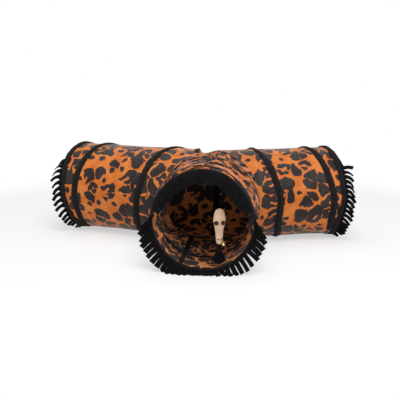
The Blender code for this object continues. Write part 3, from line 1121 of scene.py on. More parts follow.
@dataclass(frozen=True)
class Folds:
    """How deep the cloth of a tube hangs in folds, and how much longer the gathers make it."""

    count: float = 0
    ridge: float = 0.0
    valley: float = 0.0
    gather: float = 0.0
    drift: float = 0.50
    roundness: float = 1.8
    minor: float = 2.6
    minor_phase: float = 0.3
    uneven: float = 0.28


@dataclass(frozen=True)
class Sleeve:
    """The printed cloth of one tube: a short part at the junction and the outer part."""

    leg: Leg
    seed: int
    cut_length: float
    folds: Folds = Folds()
    sag: float = 0.0014
    pucker: float = 0.0007
    comb: float = 0.0165
    slack: float = 0.0002
    columns: int = 192
    row_step: float = 0.0034
    print_shift: float = 0.41
    inner_mark: float = -0.001
    inner_share: float = 0.40

    @property
    def psi(self) -> Array:
        """The angle of each column, with the first one repeated a full turn later."""
        return -math.pi + math.tau * np.arange(self.columns + 1) / self.columns

    @property
    def base(self) -> float:
        """The outer radius of the cloth where nothing moves it."""
        return SIZES.tube_radius - self.slack

    def waves(self, order: int, size: float, along: Array, psi: Array) -> Array:
        """The sleeve's own ripples of one size; the order keeps several of them apart."""
        return Ripples(self.seed + order, size).height(psi * SIZES.tube_radius, along)

    def radius(self, along: Array, psi: Array) -> Array:
        """Finds the cloth's outer radius.

        Args:
            along: places along the tube, as (rows, columns).
            psi: angles round the tube, one for each column.

        Returns:
            The radius at each place.
        """
        wire_start, tape_edge, tuck_peak, tuck_fade = (-0.02, 0.05), (0.0065, 0.0095), 0.0075, 0.007
        comb_waver, comb_size, comb_level = 2.2, 0.05, 0.6
        from_seam, short_ease, long_ease, to_rim, past_rim = 0.002, 0.007, 0.026, 0.006, 0.0005
        leg, rim = self.leg, self.leg.rim
        low, high = np.full(along.shape, -0.1), np.full(along.shape, rim)
        near = np.ones(along.shape)
        for casing, turn in leg.crossings(psi):
            casing = np.minimum(casing, rim)
            low = np.where(along >= casing, np.maximum(low, casing), low)
            high = np.where(along < casing, np.minimum(high, casing), high)
            near = np.minimum(near, np.abs(along - casing) + rise(-turn, *wire_start))
        if self.folds.count:
            radius, seam_ease = self.folded(along, psi, near), short_ease
        else:
            radius, seam_ease = self.sagging(along, psi, low, high), long_ease
        tuck = np.minimum(near, np.maximum(rim - along, 0) + SIZES.casing_width / 2)
        tuck = rise(tuck, *tape_edge) * np.exp(-np.maximum(tuck - tuck_peak, 0) / tuck_fade)
        phase = psi * SIZES.tube_radius * math.tau / self.comb
        comb = np.sin(phase + comb_waver * self.waves(1, comb_size, along, psi))
        radius = radius + self.pucker * tuck * (comb - comb_level)
        ease = rise(along - leg.seam(psi), from_seam, seam_ease)
        ease = ease * rise(rim + past_rim - along, 0.0, to_rim)
        return self.base + (radius - self.base) * ease

    def sagging(self, along: Array, psi: Array, low: Array, high: Array) -> Array:
        """Finds the radius of stretched cloth, which sags between two casings.

        Args:
            along: places along the tube.
            psi: angles round the tube.
            low: the casing before each place.
            high: the casing after it.

        Returns:
            The radius at each place.
        """
        least, taut, loose, uneven, wave_size, on_top = 0.002, 0.01, 0.12, 0.35, 0.11, 0.35
        rim = self.leg.rim
        high = np.where(along >= rim, rim + least / 2, high)
        span = np.maximum(high - low, least)
        bow = np.sin(math.pi * np.clip((along - low) / span, 0, 1)) * rise(span, taut, loose)
        top = np.maximum(np.cos(psi), 0)
        uneven = 1 + uneven * self.waves(0, wave_size, along, psi) + on_top * top
        return self.base - self.sag * bow * uneven

    def loosened(self, along: Array, psi: Array) -> Array:
        """Falls from 1 to 0 where the folds end at the mouth, sooner in its lower half."""
        top, side, bottom, fade, level = 0.020, 0.024, 0.050, 0.018, -np.cos(psi)
        side_from, bottom_from = (-0.25, 0.35), (0.45, 0.80)
        edge = top + side * rise(level, *side_from) + bottom * rise(level, *bottom_from)
        return rise(self.leg.length - along - edge, 0.0, fade)

    def bunched(self, along: Array, psi: Array) -> Array:
        """The share of the fine gathers, which smooth out at the mouth and on the floor."""
        share, smoothed, floor_from = 1.0 if self.folds.count else 0.0, 0.85, (0.45, 0.9)
        floor = 1 - smoothed * rise(-np.cos(psi), *floor_from)
        return share * floor * self.loosened(along, psi)

    def folded(self, along: Array, psi: Array, near: Array) -> Array:
        """Finds the radius of cloth that hangs in ring folds, flat under the wire's casing.

        Args:
            along: places along the tube.
            psi: angles round the tube.
            near: how far the nearest casing is.

        Returns:
            The radius at each place.
        """
        drift_size, uneven_size, deep, shallow = 0.26, 0.09, 0.84, 0.20
        flattened, floor_from, low_hang = 0.92, (0.50, 0.93), 0.30
        seam_hang, seam_fade, mouth_seat = 0.25, (0.010, 0.050), 0.12
        under_tape, seated, lip_place, lip_spread, lip_end = 0.0072, 0.0105, 0.0100, 0.0028, 0.0088
        lip_fade, lip_sizes = (0.020, 0.030), (0.75, 1.15)
        lip_angles = (0, 18, 42, 100, 125)
        lip_heights = (0.0040, 0.0048, 0.0080, 0.0080, 0.0)
        folds, base, from_mouth = self.folds, self.base, self.leg.length - along
        drift = folds.drift * self.waves(2, drift_size, along, psi)
        phase = folds.count * along / self.leg.length + drift
        wave = (0.5 + 0.5 * np.cos(math.tau * phase)) ** folds.roundness
        minor = 0.5 + 0.5 * np.cos(math.tau * (folds.minor * phase + folds.minor_phase))
        wave = np.clip(deep * wave + shallow * minor * (1 - wave), 0, 1)
        past = along - self.leg.seam(psi)
        near = np.minimum(near, past)
        size = 1 + folds.uneven * self.waves(3, uneven_size, along, psi)
        high = 1 - flattened * rise(-np.cos(psi), *floor_from)
        hang = low_hang + (1 - low_hang) * high
        hang = hang * (seam_hang + (1 - seam_hang) * rise(past, *seam_fade))
        radius = base + folds.ridge * size * high * wave
        radius = radius - folds.valley * size * (1 - wave) * hang
        seat = mouth_seat + (1 - mouth_seat) * self.loosened(along, psi)
        seat = rise(near, under_tape, seated) * seat
        radius = base + (radius - base) * seat
        lip = mound(near, lip_place, lip_spread) * rise(near, under_tape, lip_end)
        lip = lip * rise(from_mouth, *lip_fade) * high
        height = np.interp(np.abs(np.degrees(psi)), lip_angles, lip_heights)
        return radius + (base + height * np.clip(size, *lip_sizes) - radius) * lip

    def part(
        self, name: str, first: Array, last: float, beyond: Array | float
    ) -> tuple[PieceMesh, Array]:
        """Makes a closed thin tube of cloth between two edges.

        Args:
            name: the piece's name.
            first: where each column starts along the tube.
            last: where all columns end.
            beyond: how long each column's cloth is from there to the mouth.

        Returns:
            The mesh, ready to build, and the length of each column's cloth.
        """
        leg, psi = self.leg, self.psi
        rows = max(2, math.ceil((last - float(first.min())) / self.row_step)) + 1
        share = np.linspace(0, 1, rows)[:, None]
        along = first[None, :] + (last - first[None, :]) * share
        outer = self.radius(along, psi)
        layers = np.concatenate([leg.place(along, psi, outer),
                                 leg.place(along, psi, outer - SIZES.cloth)[::-1]])
        bunched = self.bunched(along, psi)
        run = np.hypot(np.diff(along, axis=0), np.diff(outer, axis=0))
        run = run * (1 + self.folds.gather * bunched[1:])
        length = np.concatenate([np.zeros((1, run.shape[1])), np.cumsum(run, axis=0)])
        flat = stacked(psi * SIZES.tube_radius + self.seed * self.print_shift,
                       leg.length - (beyond + length[-1:] - length))
        charts = np.concatenate([flat, flat[::-1], flat[:1]])
        # Inner face marks are below 0; their size sets the gathers' bumps there and the share of
        # painted shade and painted highlight.
        inside = self.inner_mark - self.inner_share * bunched[::-1]
        marks = np.concatenate([bunched, inside])[:, :-1]
        mesh = PieceMesh(name).grid(layers[:, :-1], charts, wrap_rows=True, marks=marks)
        return mesh, length[-1:]

    def build(self, finishes: Finishes) -> tuple[Piece, Piece]:
        """Builds both parts and puts them on their bodies.

        Args:
            finishes: the finishes.

        Returns:
            The inner and the outer part.
        """
        leg = self.leg
        split = np.full(self.psi.shape, SIZES.split)
        outer, reach = self.part(f"{leg.name}_cloth", split, leg.length, 0.0)
        inner, _ = self.part(f"{leg.name}_cloth_root", leg.seam(self.psi), SIZES.split, reach)
        root, run = inner.build(finishes.cloth), outer.build(finishes.cloth)
        for piece in (root, run):
            report(piece, Slot.CLOTH, f"{leg.name}_sleeve")
        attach(root, "junction")
        fold_up(run)
        return root, run


@dataclass(frozen=True)
class WireAndCasing:
    """The spring wire of one tube, its tape casing, and the tape's seam inside the cloth."""

    leg: Leg
    width: float = SIZES.casing_width
    crown: float = 0.0056
    crown_shape: float = 1.3
    thin_edge: float = 0.45
    steps: int = 84
    wire_sides: int = 10
    lining_width: float = 0.0125
    lining: float = 0.0005

    def turns(self, last: float) -> Array:
        """Evenly spaced turns of the wire whose place stays inside a limit."""
        turn = np.arange(0, self.leg.turns + 1e-9, 1 / self.steps)
        return turn[self.leg.wire_along(turn) <= last]

    def band(self, name: str, section: Array, turn: Array, offsets: Array) -> PieceMesh:
        """Sweeps a closed section with the wire.

        Args:
            name: the piece's name.
            section: the outline as (offset along the tube, radius), closed.
            turn: the turns of the wire to follow.
            offsets: the flat place of each point of the section.

        Returns:
            The mesh, ready to build.
        """
        middle = self.leg.wire_along(turn)
        run = np.hypot(np.gradient(middle), SIZES.wire_track * math.tau * np.gradient(turn))
        along = middle[:, None] + section[None, :-1, 0]
        psi = self.leg.wire_psi(turn)[:, None]
        points = self.leg.place(along, psi, section[None, :-1, 1])
        charts = stacked(offsets[None, :], np.cumsum(run)[:, None])
        return PieceMesh(f"{self.leg.name}_{name}").grid(points, charts)

    def wire(self, finishes: Finishes) -> Piece:
        """Winds the round wire over its whole length.

        Args:
            finishes: the finishes.

        Returns:
            The wire.
        """
        angles = np.arange(self.wire_sides + 1) * math.tau / self.wire_sides
        ring = closed([(SIZES.wire_radius * math.cos(a), SIZES.wire_track
                        + SIZES.wire_radius * math.sin(a)) for a in angles[:-1]])
        turn = np.arange(0, self.leg.turns, 1 / self.steps)
        return self.band("wire", ring, turn, angles * SIZES.wire_radius).build(finishes.steel)

    def casing(self, finishes: Finishes) -> Piece:
        """Sews the casing: two flat flanges and a crown over the wire.

        Args:
            finishes: the finishes.

        Returns:
            The casing.
        """
        half, foot = self.width / 2, SIZES.over_cloth
        offsets = np.linspace(-half, half, 17)
        level = np.cos(np.clip(offsets / self.crown, -1, 1) * math.pi / 2) ** self.crown_shape
        under = foot + (SIZES.over_wire - foot) * level
        over = under + SIZES.tape * (1 - self.thin_edge * (np.abs(offsets) / half) ** 6)
        section = closed([*zip(offsets, over), *zip(offsets[::-1], under[::-1])])
        turn = self.turns(self.leg.rim - half - SIZES.gap)
        return self.band("casing", section, turn, section[:, 0]).build(finishes.tape)

    def sewn_edge(self, finishes: Finishes) -> Piece:
        """Lays the casing's seam along the cloth's inside.

        Args:
            finishes: the finishes.

        Returns:
            The seam.
        """
        half, top = self.lining_width / 2, SIZES.under_cloth - SIZES.gap
        offsets, low = np.linspace(-half, half, 7), top - self.lining
        section = closed([(a, top) for a in offsets] + [(a, low) for a in offsets[::-1]])
        turn = self.turns(self.leg.rim - half - SIZES.gap)
        return self.band("casing_seam", section, turn, section[:, 0]).build(finishes.tape)

    def build(self, finishes: Finishes) -> list[Piece]:
        """Builds the wire, its casing and the seam inside.

        Args:
            finishes: the finishes.

        Returns:
            The pieces sewn to the cloth.
        """
        pieces = [self.wire(finishes), self.casing(finishes), self.sewn_edge(finishes)]
        report(pieces[0], Slot.STEEL, f"{self.leg.name}_coil")
        report(pieces[1], Slot.TAPE, f"{self.leg.name}_wire_casing")
        report(pieces[2], Slot.TAPE)
        for piece in pieces:
            fold_up(piece)
        return pieces


@dataclass(frozen=True)
class Binding:
    """The tape folded over a mouth's edge, with the wire's ring showing as a soft bead."""

    leg: Leg
    columns: int = 216
    bead: float = 0.0002
    waver: float = 0.0004
    lump_size: float = 0.05
    lump_seed: int = 31
    lag: int = 40
    chart_start: float = -0.0020

    def section(self) -> Array:
        """Draws the tape folded over the edge.

        Returns:
            The outline as (place along the tube, radius), closed.
        """
        s = SIZES
        back, front = self.leg.rim, self.leg.length + s.gap
        outer, inner, thick = s.rim_outer, s.rim_inner, s.rim_tape
        face, lining = front + thick, inner + thick
        return closed([
            (back, outer - 0.0014), (back + 0.0006, outer - 0.0009),
            (back + 0.0035, outer - 0.0007), (back + 0.0065, outer),
            (face - 0.0030, outer), (face - 0.0012, outer - 0.0003),
            (face - 0.0003, outer - 0.0011), (face, outer - 0.0022),
            (face, inner + 0.0018), (face - 0.0003, inner + 0.0008),
            (face - 0.0011, inner + 0.0002), (face - 0.0030, inner),
            (back + 0.0020, inner), (back, inner + 0.0003), (back, lining),
            (front - 0.0008, lining), (front, lining + 0.0005),
            (front, s.over_wire - 0.0006), (front - 0.0008, s.over_wire),
            (back + 0.0065, s.over_wire), (back, outer - thick - 0.0012),
        ])

    def build(self, finishes: Finishes) -> Piece:
        """Builds the binding on its mouth's body.

        Args:
            finishes: the finishes.

        Returns:
            The binding.
        """
        section = self.section()
        psi = math.tau * np.arange(self.columns) / self.columns
        ripples = Ripples(self.lump_seed + len(self.leg.name), self.lump_size)
        lumps = ripples.height(psi * SIZES.rim_outer, 0 * psi)
        radius = section[None, :-1, 1] + self.bead * lumps[:, None]
        along = section[None, :-1, 0] + self.waver * np.roll(lumps, self.lag)[:, None]
        points = self.leg.place(along, psi[:, None], radius)
        steps = np.hypot(*np.diff(section, axis=0).T)
        across = np.concatenate([[0], np.cumsum(steps)]) + self.chart_start
        length = math.tau * SIZES.rim_outer * np.arange(self.columns + 1) / self.columns
        charts = stacked(across[None, :], length[:, None])
        mesh = PieceMesh(f"{self.leg.name}_binding").grid(points, charts, wrap_rows=True)
        piece = mesh.build(finishes.rim_tape)
        report(piece, Slot.TAPE, f"{self.leg.name}_rim_binding")
        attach(piece, f"{self.leg.name}_mouth")
        return piece


@dataclass(frozen=True)
class StripPose:
    """How the strips of one fringe lie, by the height round the mouth.

    Bends are in degrees away from the tube's own direction: outward if above 0, else
    inward over the mouth. They are given at the strip's root, its middle and its tip.
    """

    heights: Floats
    root: Floats
    middle: Floats
    tip: Floats
    droop: Floats
    twist: Floats
    share: Floats
    width: Floats
    mix: float = 0.02
    parted: float = 0.0

    def read(self, table: Floats, height: float) -> float:
        """Reads a table at a height from -1 to 1."""
        return float(np.interp(height, self.heights, table))


FRONT_POSE = StripPose(
    heights=(-1.0, -0.92, -0.70, -0.40, -0.15, 0.0, 0.14, 0.34, 0.6, 1.0),
    root=(30, 36, 40, 42, 40, 24, -6, -18, -22, -16),
    middle=(52, 58, 62, 66, 60, 34, -20, -50, -62, -54),
    tip=(60, 62, 68, 72, 70, 42, -28, -68, -82, -78),
    droop=(0.1, 0.12, 0.25, 0.45, 0.9, 1.1, 0.5, 0.1, 0.1, 0.0),
    twist=(0, 0, 5, 8, 10, 14, 6, 0, 0, 0),
    share=(0.95, 1.1, 1.24, 1.22, 1.15, 1.08, 1.0, 1.1, 1.2, 1.2),
    width=(0.0165, 0.0156, 0.0142, 0.0138, 0.0134, 0.0128, 0.0125, 0.0125, 0.0125, 0.0125),
    parted=0.0028,
)
SIDE_POSE = StripPose(
    heights=(-1.0, -0.90, -0.70, -0.40, 0.0, 0.35, 0.58, 0.68, 1.0),
    root=(15, 26, 32, 36, 34, 32, 28, -20, -16),
    middle=(20, 40, 46, 44, 36, 36, 34, -60, -54),
    tip=(20, 46, 50, 46, 38, 38, 36, -80, -76),
    droop=(0.3, 0.6, 0.9, 1.15, 1.7, 1.45, 1.0, 0.1, 0.0),
    twist=(0, 16, 26, 30, 34, 34, 30, 0, 0),
    share=(0.30, 0.42, 0.8, 1, 1, 1, 1, 1, 1),
    width=(0.0140, 0.0110, 0.0092, 0.0090, 0.0094, 0.0100, 0.0100, 0.0125, 0.0125),
    mix=0.10,
)


@dataclass(frozen=True)
class Fringe:
    """Felt cut into strips round a mouth: some hang over it, the others are spread out."""

    leg: Leg
    pose: StripPose
    seed: int
    strips: int
    header: float = 0.004
    length: float = 0.029
    steps: int = 14
    clear_psi: float = 0.35
    clear_spread: float = 0.22
    clear_bends: tuple[float, float] = (12, 6)
    own_bend: float = 4
    tip_bend: float = 5
    at_root: float = 0.3
    cup: float = 0.0006
    overlap: float = 0.0030
    root_overlap: float = 0.0004
    hung_overlap: float = 0.0010
    middle_at: float = 0.55
    sag: float = 1.5
    rolling: float = 2.2
    on_floor: float = 0.0014
    near_floor: float = 0.0074
    lowest: float = 0.0004

    def bends(self, psi: float, source: np.random.Generator) -> Floats:
        """Reads one strip's bends; those before the toy's cord stay clear of it.

        Args:
            psi: the strip's angle round the mouth.
            source: where its small differences come from.

        Returns:
            The bends in radians at its root, on its header, at its middle and its tip.
        """
        height = math.cos(psi) + source.normal(0, self.pose.mix)
        own = source.normal(0, self.own_bend)
        away = abs((psi - self.clear_psi + math.pi) % math.tau - math.pi)
        front = self.leg.way is Way.FRONT
        near = math.exp(-(away / self.clear_spread) ** 2) if front else 0.0
        read, (at_middle, at_tip) = self.pose.read, self.clear_bends
        root = read(self.pose.root, height) + own * self.at_root
        middle = read(self.pose.middle, height) + own + at_middle * near
        tip = read(self.pose.tip, height) + own + source.normal(0, self.tip_bend) + at_tip * near
        return tuple(map(math.radians, (root, (root + middle) / 2, middle, tip)))

    def outline(self, width: float, cup: float) -> list[tuple[float, float]]:
        """Draws a strip's section.

        Args:
            width: the strip's width.
            cup: how far its middle stands over its edges.

        Returns:
            The outline as (across, over the strip's own middle).
        """
        across = width / 2 * np.array((-1, -0.5, 0, 0.5, 1))
        bend = cup * np.array((0, 1, 1.3, 1, 0))
        half = SIZES.felt / 2
        return [*zip(across, bend + half), *zip(across[::-1], bend[::-1] - half)]

    def strip(self, psi: float, source: np.random.Generator, even: bool) -> tuple[Array, Array]:
        """Shapes one strip from the header's cut to its tip.

        Args:
            psi: the strip's angle round the mouth.
            source: where its small differences come from.
            even: whether it lies above its neighbours where they overlap.

        Returns:
            Rings of points round the strip, and their flat chart.
        """
        droops, yaws, twists, lengths = (0.7, 1.3), 5, 11, (0.94, 1.04)
        right_from, low_from, to_floor, lapped, root_end = (0.10, 0.16), (0.45, 0.60), 0.5, 0.001, 5
        leg, pose, height = self.leg, self.pose, math.cos(psi)
        out, side, up = np.array(leg.outward), np.array(leg.sideways), np.array((0.0, 0.0, 1.0))
        radial = side * math.sin(psi) + up * height
        tangent = side * math.cos(psi) - up * math.sin(psi)
        bends = self.bends(psi, source)
        droop = pose.read(pose.droop, height) * source.uniform(*droops)
        yaw = math.radians(source.normal(0, yaws))
        turn = pose.read(pose.twist, height) + source.normal(0, twists)
        twist = math.radians(turn) * (1 if math.sin(psi) > 0 else -1)
        low_right = rise(math.sin(psi), *right_from) * rise(-height, *low_from)
        own_width = pose.read(pose.width, height) - pose.parted * low_right
        length = self.length * source.uniform(*lengths) * pose.read(pose.share, height)
        total = self.header + length
        sewn_on = (SIZES.over_wire + SIZES.rim_inner) / 2
        place = leg.place(*map(np.array, (leg.length + SIZES.rim_reach, psi, sewn_on)))
        cut, step = self.header / total, total / self.steps
        rings, charts = [], []
        for run in np.arange(self.steps + 1) / self.steps:
            free = max(0.0, run - cut)
            angle = np.interp(run, (0, cut, self.middle_at, 1), bends)
            heading = out * math.cos(angle) + radial * math.sin(angle)
            heading = heading + tangent * math.sin(yaw) * free - up * droop * free * self.sag
            if place[2] < self.near_floor:
                heading[2] = max(heading[2], (self.on_floor - place[2]) / step * to_floor)
            heading /= np.linalg.norm(heading)
            wide = tangent - heading * (tangent @ heading)
            wide /= np.linalg.norm(wide)
            thick = np.cross(heading, wide)
            roll = twist * min(1.0, self.rolling * free)
            wide, thick = (wide * math.cos(roll) + thick * math.sin(roll),
                           thick * math.cos(roll) - wide * math.sin(roll))
            off = place - np.array((*JUNCTION, SIZES.axis_height))
            off = off - out * (off @ out)
            pitch = math.tau * np.linalg.norm(off) / self.strips
            width, lift = min(own_width, pitch + self.overlap), 0.0
            if bends[2] < 0:
                width, lift = pitch + self.hung_overlap, lapped * free * (1 if even else -1)
            width = width + (pitch + self.root_overlap - width) * max(0.0, 1 - root_end * free)
            section = self.outline(width, self.cup * free)
            rings.append([place + wide * a + thick * (b + lift) for a, b in section])
            charts.append([(psi * SIZES.tube_radius + a, run * total)
                           for a, b in section + section[:1]])
            place = place + heading * step
        return np.array(rings), np.array(charts)

    def build(self, finishes: Finishes) -> Piece:
        """Builds every strip as one piece on the mouth's body.

        Args:
            finishes: the finishes.

        Returns:
            The fringe.
        """
        source = np.random.default_rng(self.seed)
        mesh = PieceMesh(f"{self.leg.name}_strips")
        for k in range(self.strips):
            psi = math.tau * (k + 0.5) / self.strips
            rings, charts = self.strip(psi, source, k % 2 == 0)
            rings[..., 2] = np.maximum(rings[..., 2], self.lowest)
            mesh.grid(rings, charts)
        piece = mesh.build(finishes.felt, sharp=40)
        report(piece, Slot.FELT, f"{self.leg.name}_fringe")
        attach(piece, f"{self.leg.name}_mouth")
        return piece


@dataclass(frozen=True)
class LooseEnd:
    """A tape's cut end that stands up beside the dip at the junction."""

    half: float = 0.0070
    reach: float = 0.036
    aside: float = 0.0444
    crest: float = 0.0128
    stand: float = 0.0007
    slant: float = 0.0011

    def add_to(self, mesh: PieceMesh) -> None:
        """Adds the end to its tape.

        Args:
            mesh: the tape's mesh.
        """
        run = np.linspace(0, 1, 9)[:, None]
        across, upper = np.array(((-1, 0, 1, 1, 0, -1), (0, 0, 0, 1, 1, 1)))
        back = self.reach * (run - 1)
        stand = (self.stand + self.slant * across) * rise(run, 0.70, 1.0)
        height = SIZES.axis_height + np.sqrt(SIZES.tube_radius ** 2 - back ** 2) + SIZES.gap
        points = stacked(JUNCTION[0] - self.aside + self.half * across,
                         JUNCTION[1] + self.crest + back, height + stand + SIZES.tape * upper)
        mesh.grid(points, stacked(self.half * np.append(across, -1), self.reach * run))


@dataclass(frozen=True)
class SeamTape:
    """The tape over the seam between two tubes."""

    name: str
    one: Leg
    other: Leg
    side: int
    rows: int = 96
    first: float = math.radians(3.4)
    inner_flange: float = 0.010
    thin_edge: float = 0.4
    loose_end: LooseEnd | None = None

    def layer(self, mesh: PieceMesh, inner: float, outer: float, flange: float) -> None:
        """Adds one layer of tape over both tubes' edges.

        Args:
            mesh: the tape's mesh.
            inner: the radius of its face on the cloth.
            outer: the radius of its other face.
            flange: how far it reaches along each tube.
        """
        half = self.one.ahead if self.side > 0 else self.one.behind
        psi = np.linspace(self.first, math.pi - self.first, self.rows)
        offsets = np.linspace(flange, 0, 6)
        edge = 1 - self.thin_edge * (offsets / flange) ** 6
        sides = ((self.one, 1, self.side, slice(None)),
                 (self.other, -1, -self.side, slice(4, None, -1)))
        columns, widths = [], []
        for radii, order in ((inner + (outer - inner) * edge, 1), (np.full(6, inner), -1)):
            face = []
            for leg, way, sign, span in sides:
                for offset, radius in zip(offsets[span], radii[span]):
                    start = radius * np.sin(psi) / math.tan(half)
                    face.append((leg.place(start + offset, sign * psi, radius), offset * way))
            columns += [points for points, _ in face[::order]]
            widths += [width for _, width in face[::order]]
        charts = stacked(np.array(widths + widths[:1])[None, :],
                         (psi * SIZES.tube_radius)[:, None])
        mesh.grid(np.stack(columns, axis=1), charts)

    def build(self, finishes: Finishes) -> None:
        """Builds the tape from the junction's top down to the floor, on both faces.

        Args:
            finishes: the finishes.
        """
        mesh = PieceMesh(f"{self.name}_tape")
        foot, lining = SIZES.over_cloth, SIZES.under_cloth
        self.layer(mesh, foot, foot + SIZES.tape, SIZES.seam_flange)
        self.layer(mesh, lining, lining - SIZES.tape, self.inner_flange)
        if self.loose_end:
            self.loose_end.add_to(mesh)
        piece = mesh.build(finishes.tape)
        report(piece, Slot.TAPE, self.name)
        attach(piece, "junction")


@dataclass(frozen=True)
class LengthSeam:
    """The tape along the seam that closes the cloth into a tube, on its inside."""

    sleeve: Sleeve
    psi: float
    width: float = 0.012
    thick: float = 0.0005
    clear: float = 0.0012
    row_step: float = 0.0016
    from_seam: float = 0.006
    from_rim: float = 0.0006

    def build(self, finishes: Finishes) -> list[Piece]:
        """Builds the tape in the same two parts as the cloth.

        Args:
            finishes: the finishes.

        Returns:
            The tape at the junction and the outer tape.
        """
        leg, pieces = self.sleeve.leg, []
        start = float(leg.seam(np.array(self.psi))) + self.from_seam
        ends = ((start, SIZES.split), (SIZES.split, leg.rim - self.from_rim))
        offsets = np.linspace(-self.width / 2, self.width / 2, 7)
        psi = self.psi + offsets / SIZES.tube_radius
        across = np.concatenate([offsets, offsets[::-1], offsets[:1]])
        for name, (first, last) in zip(("root", "run"), ends):
            rows = max(4, int((last - first) / self.row_step))
            along = np.linspace(first, last, rows)[:, None]
            outer = self.sleeve.radius(along + 0 * psi, psi) - SIZES.cloth - self.clear
            layers = [leg.place(along, psi, outer),
                      leg.place(along, psi, outer - self.thick)[:, ::-1]]
            mesh = PieceMesh(f"{leg.name}_length_seam_{name}").grid(
                np.concatenate(layers, axis=1), stacked(across[None, :], along))
            pieces.append(mesh.build(finishes.tape))
            report(pieces[-1], Slot.TAPE)
        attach(pieces[0], "junction")
        fold_up(pieces[1])
        return pieces


def joint_place(name: str) -> Vector:
    """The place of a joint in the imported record."""
    joint = next(j for j in frame["joints"] if j["name"] == name)
    return Vector(joint["pos_m"])


@dataclass(frozen=True)
class ToyCord:
    """The yarn that the toy hangs on and the tape tab that holds it."""

    diameter: float = 0.0015
    spans: int = 23
    tab_half: float = 0.0025
    tab_thick: float = 0.00028
    bowl: float = 0.0013
    over_yarn: float = 0.0004
    under_yarn: float = 0.0009
    waist: Profile = ((0.0006, 1.0), (0.0007, 0.6), (0.0011, 0.3))

    def yarn(self, finishes: Finishes) -> None:
        """Hangs the yarn from its tab to the head.

        Args:
            finishes: the finishes.
        """
        top, foot = joint_place("toy_swing"), joint_place("toy_tilt")
        curve = bpy.data.curves.new("toy_yarn", "CURVE")
        curve.dimensions = "3D"
        curve.bevel_depth = self.diameter / 2
        curve.bevel_resolution = 3
        curve.use_fill_caps = True
        line = curve.splines.new("POLY")
        line.points.add(self.spans)
        for i, point in enumerate(line.points):
            point.co = (*top.lerp(foot, i / self.spans), 1)
        curve.materials.append(finishes.yarn)
        piece = add_object("toy_yarn", curve)
        report(piece, Slot.CORD, "toy_cord")
        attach(piece, "toy_cord")

    def tab(self, finishes: Finishes) -> None:
        """Folds the tape tab under the front binding, round the yarn's end.

        Args:
            finishes: the finishes.
        """
        top = joint_place("toy_swing")
        across = top.x - JUNCTION[0]
        hang = math.hypot(across, top.z - SIZES.axis_height)
        psi = math.asin(across / hang)
        radial = np.array((math.sin(psi), 0, math.cos(psi)))
        side = np.array((math.cos(psi), 0, -math.sin(psi)))
        centre = np.array(top) - radial * (self.over_yarn + self.under_yarn)
        rest = SIZES.rim_inner - SIZES.gap - FRONT_SAG - hang + self.over_yarn
        bowl = [(self.bowl * math.sin(a), self.bowl - self.bowl * math.cos(a))
                for a in np.linspace(-math.pi / 2, math.pi / 2, 13)]
        path = [(-half, rest * share) for half, share in self.waist] + bowl
        path += [(half, rest * share) for half, share in self.waist[::-1]]
        half, thick = self.tab_half, self.tab_thick
        corners = [(-half, thick), (half, thick), (half, -thick), (-half, -thick)]
        rings, charts, run = [], [], 0.0
        for i, (x, z) in enumerate(path):
            ahead, behind = path[min(i + 1, len(path) - 1)], path[max(i - 1, 0)]
            way = np.array(ahead) - np.array(behind)
            way /= np.linalg.norm(way)
            out = side * way[1] - radial * way[0]
            middle = centre + side * x + radial * z
            run += math.hypot(x - behind[0], z - behind[1])
            rings.append([middle + np.array((0, a, 0)) + out * b for a, b in corners])
            charts.append([(a, run) for a, b in corners + corners[:1]])
        mesh = PieceMesh("toy_tab").grid(np.array(rings), np.array(charts))
        piece = mesh.build(finishes.tape)
        report(piece, Slot.TAPE, "toy_loop")
        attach(piece, "front_mouth")


@dataclass(frozen=True)
class Hole:
    """A pair of round holes in the toy's face, one at each side.

    Attributes:
        spread: how far each is from the middle.
        down: how far each is under the head's top.
        radius: the radius of its rim.
        depth: how deep it goes.
    """

    spread: float
    down: float
    radius: float
    depth: float


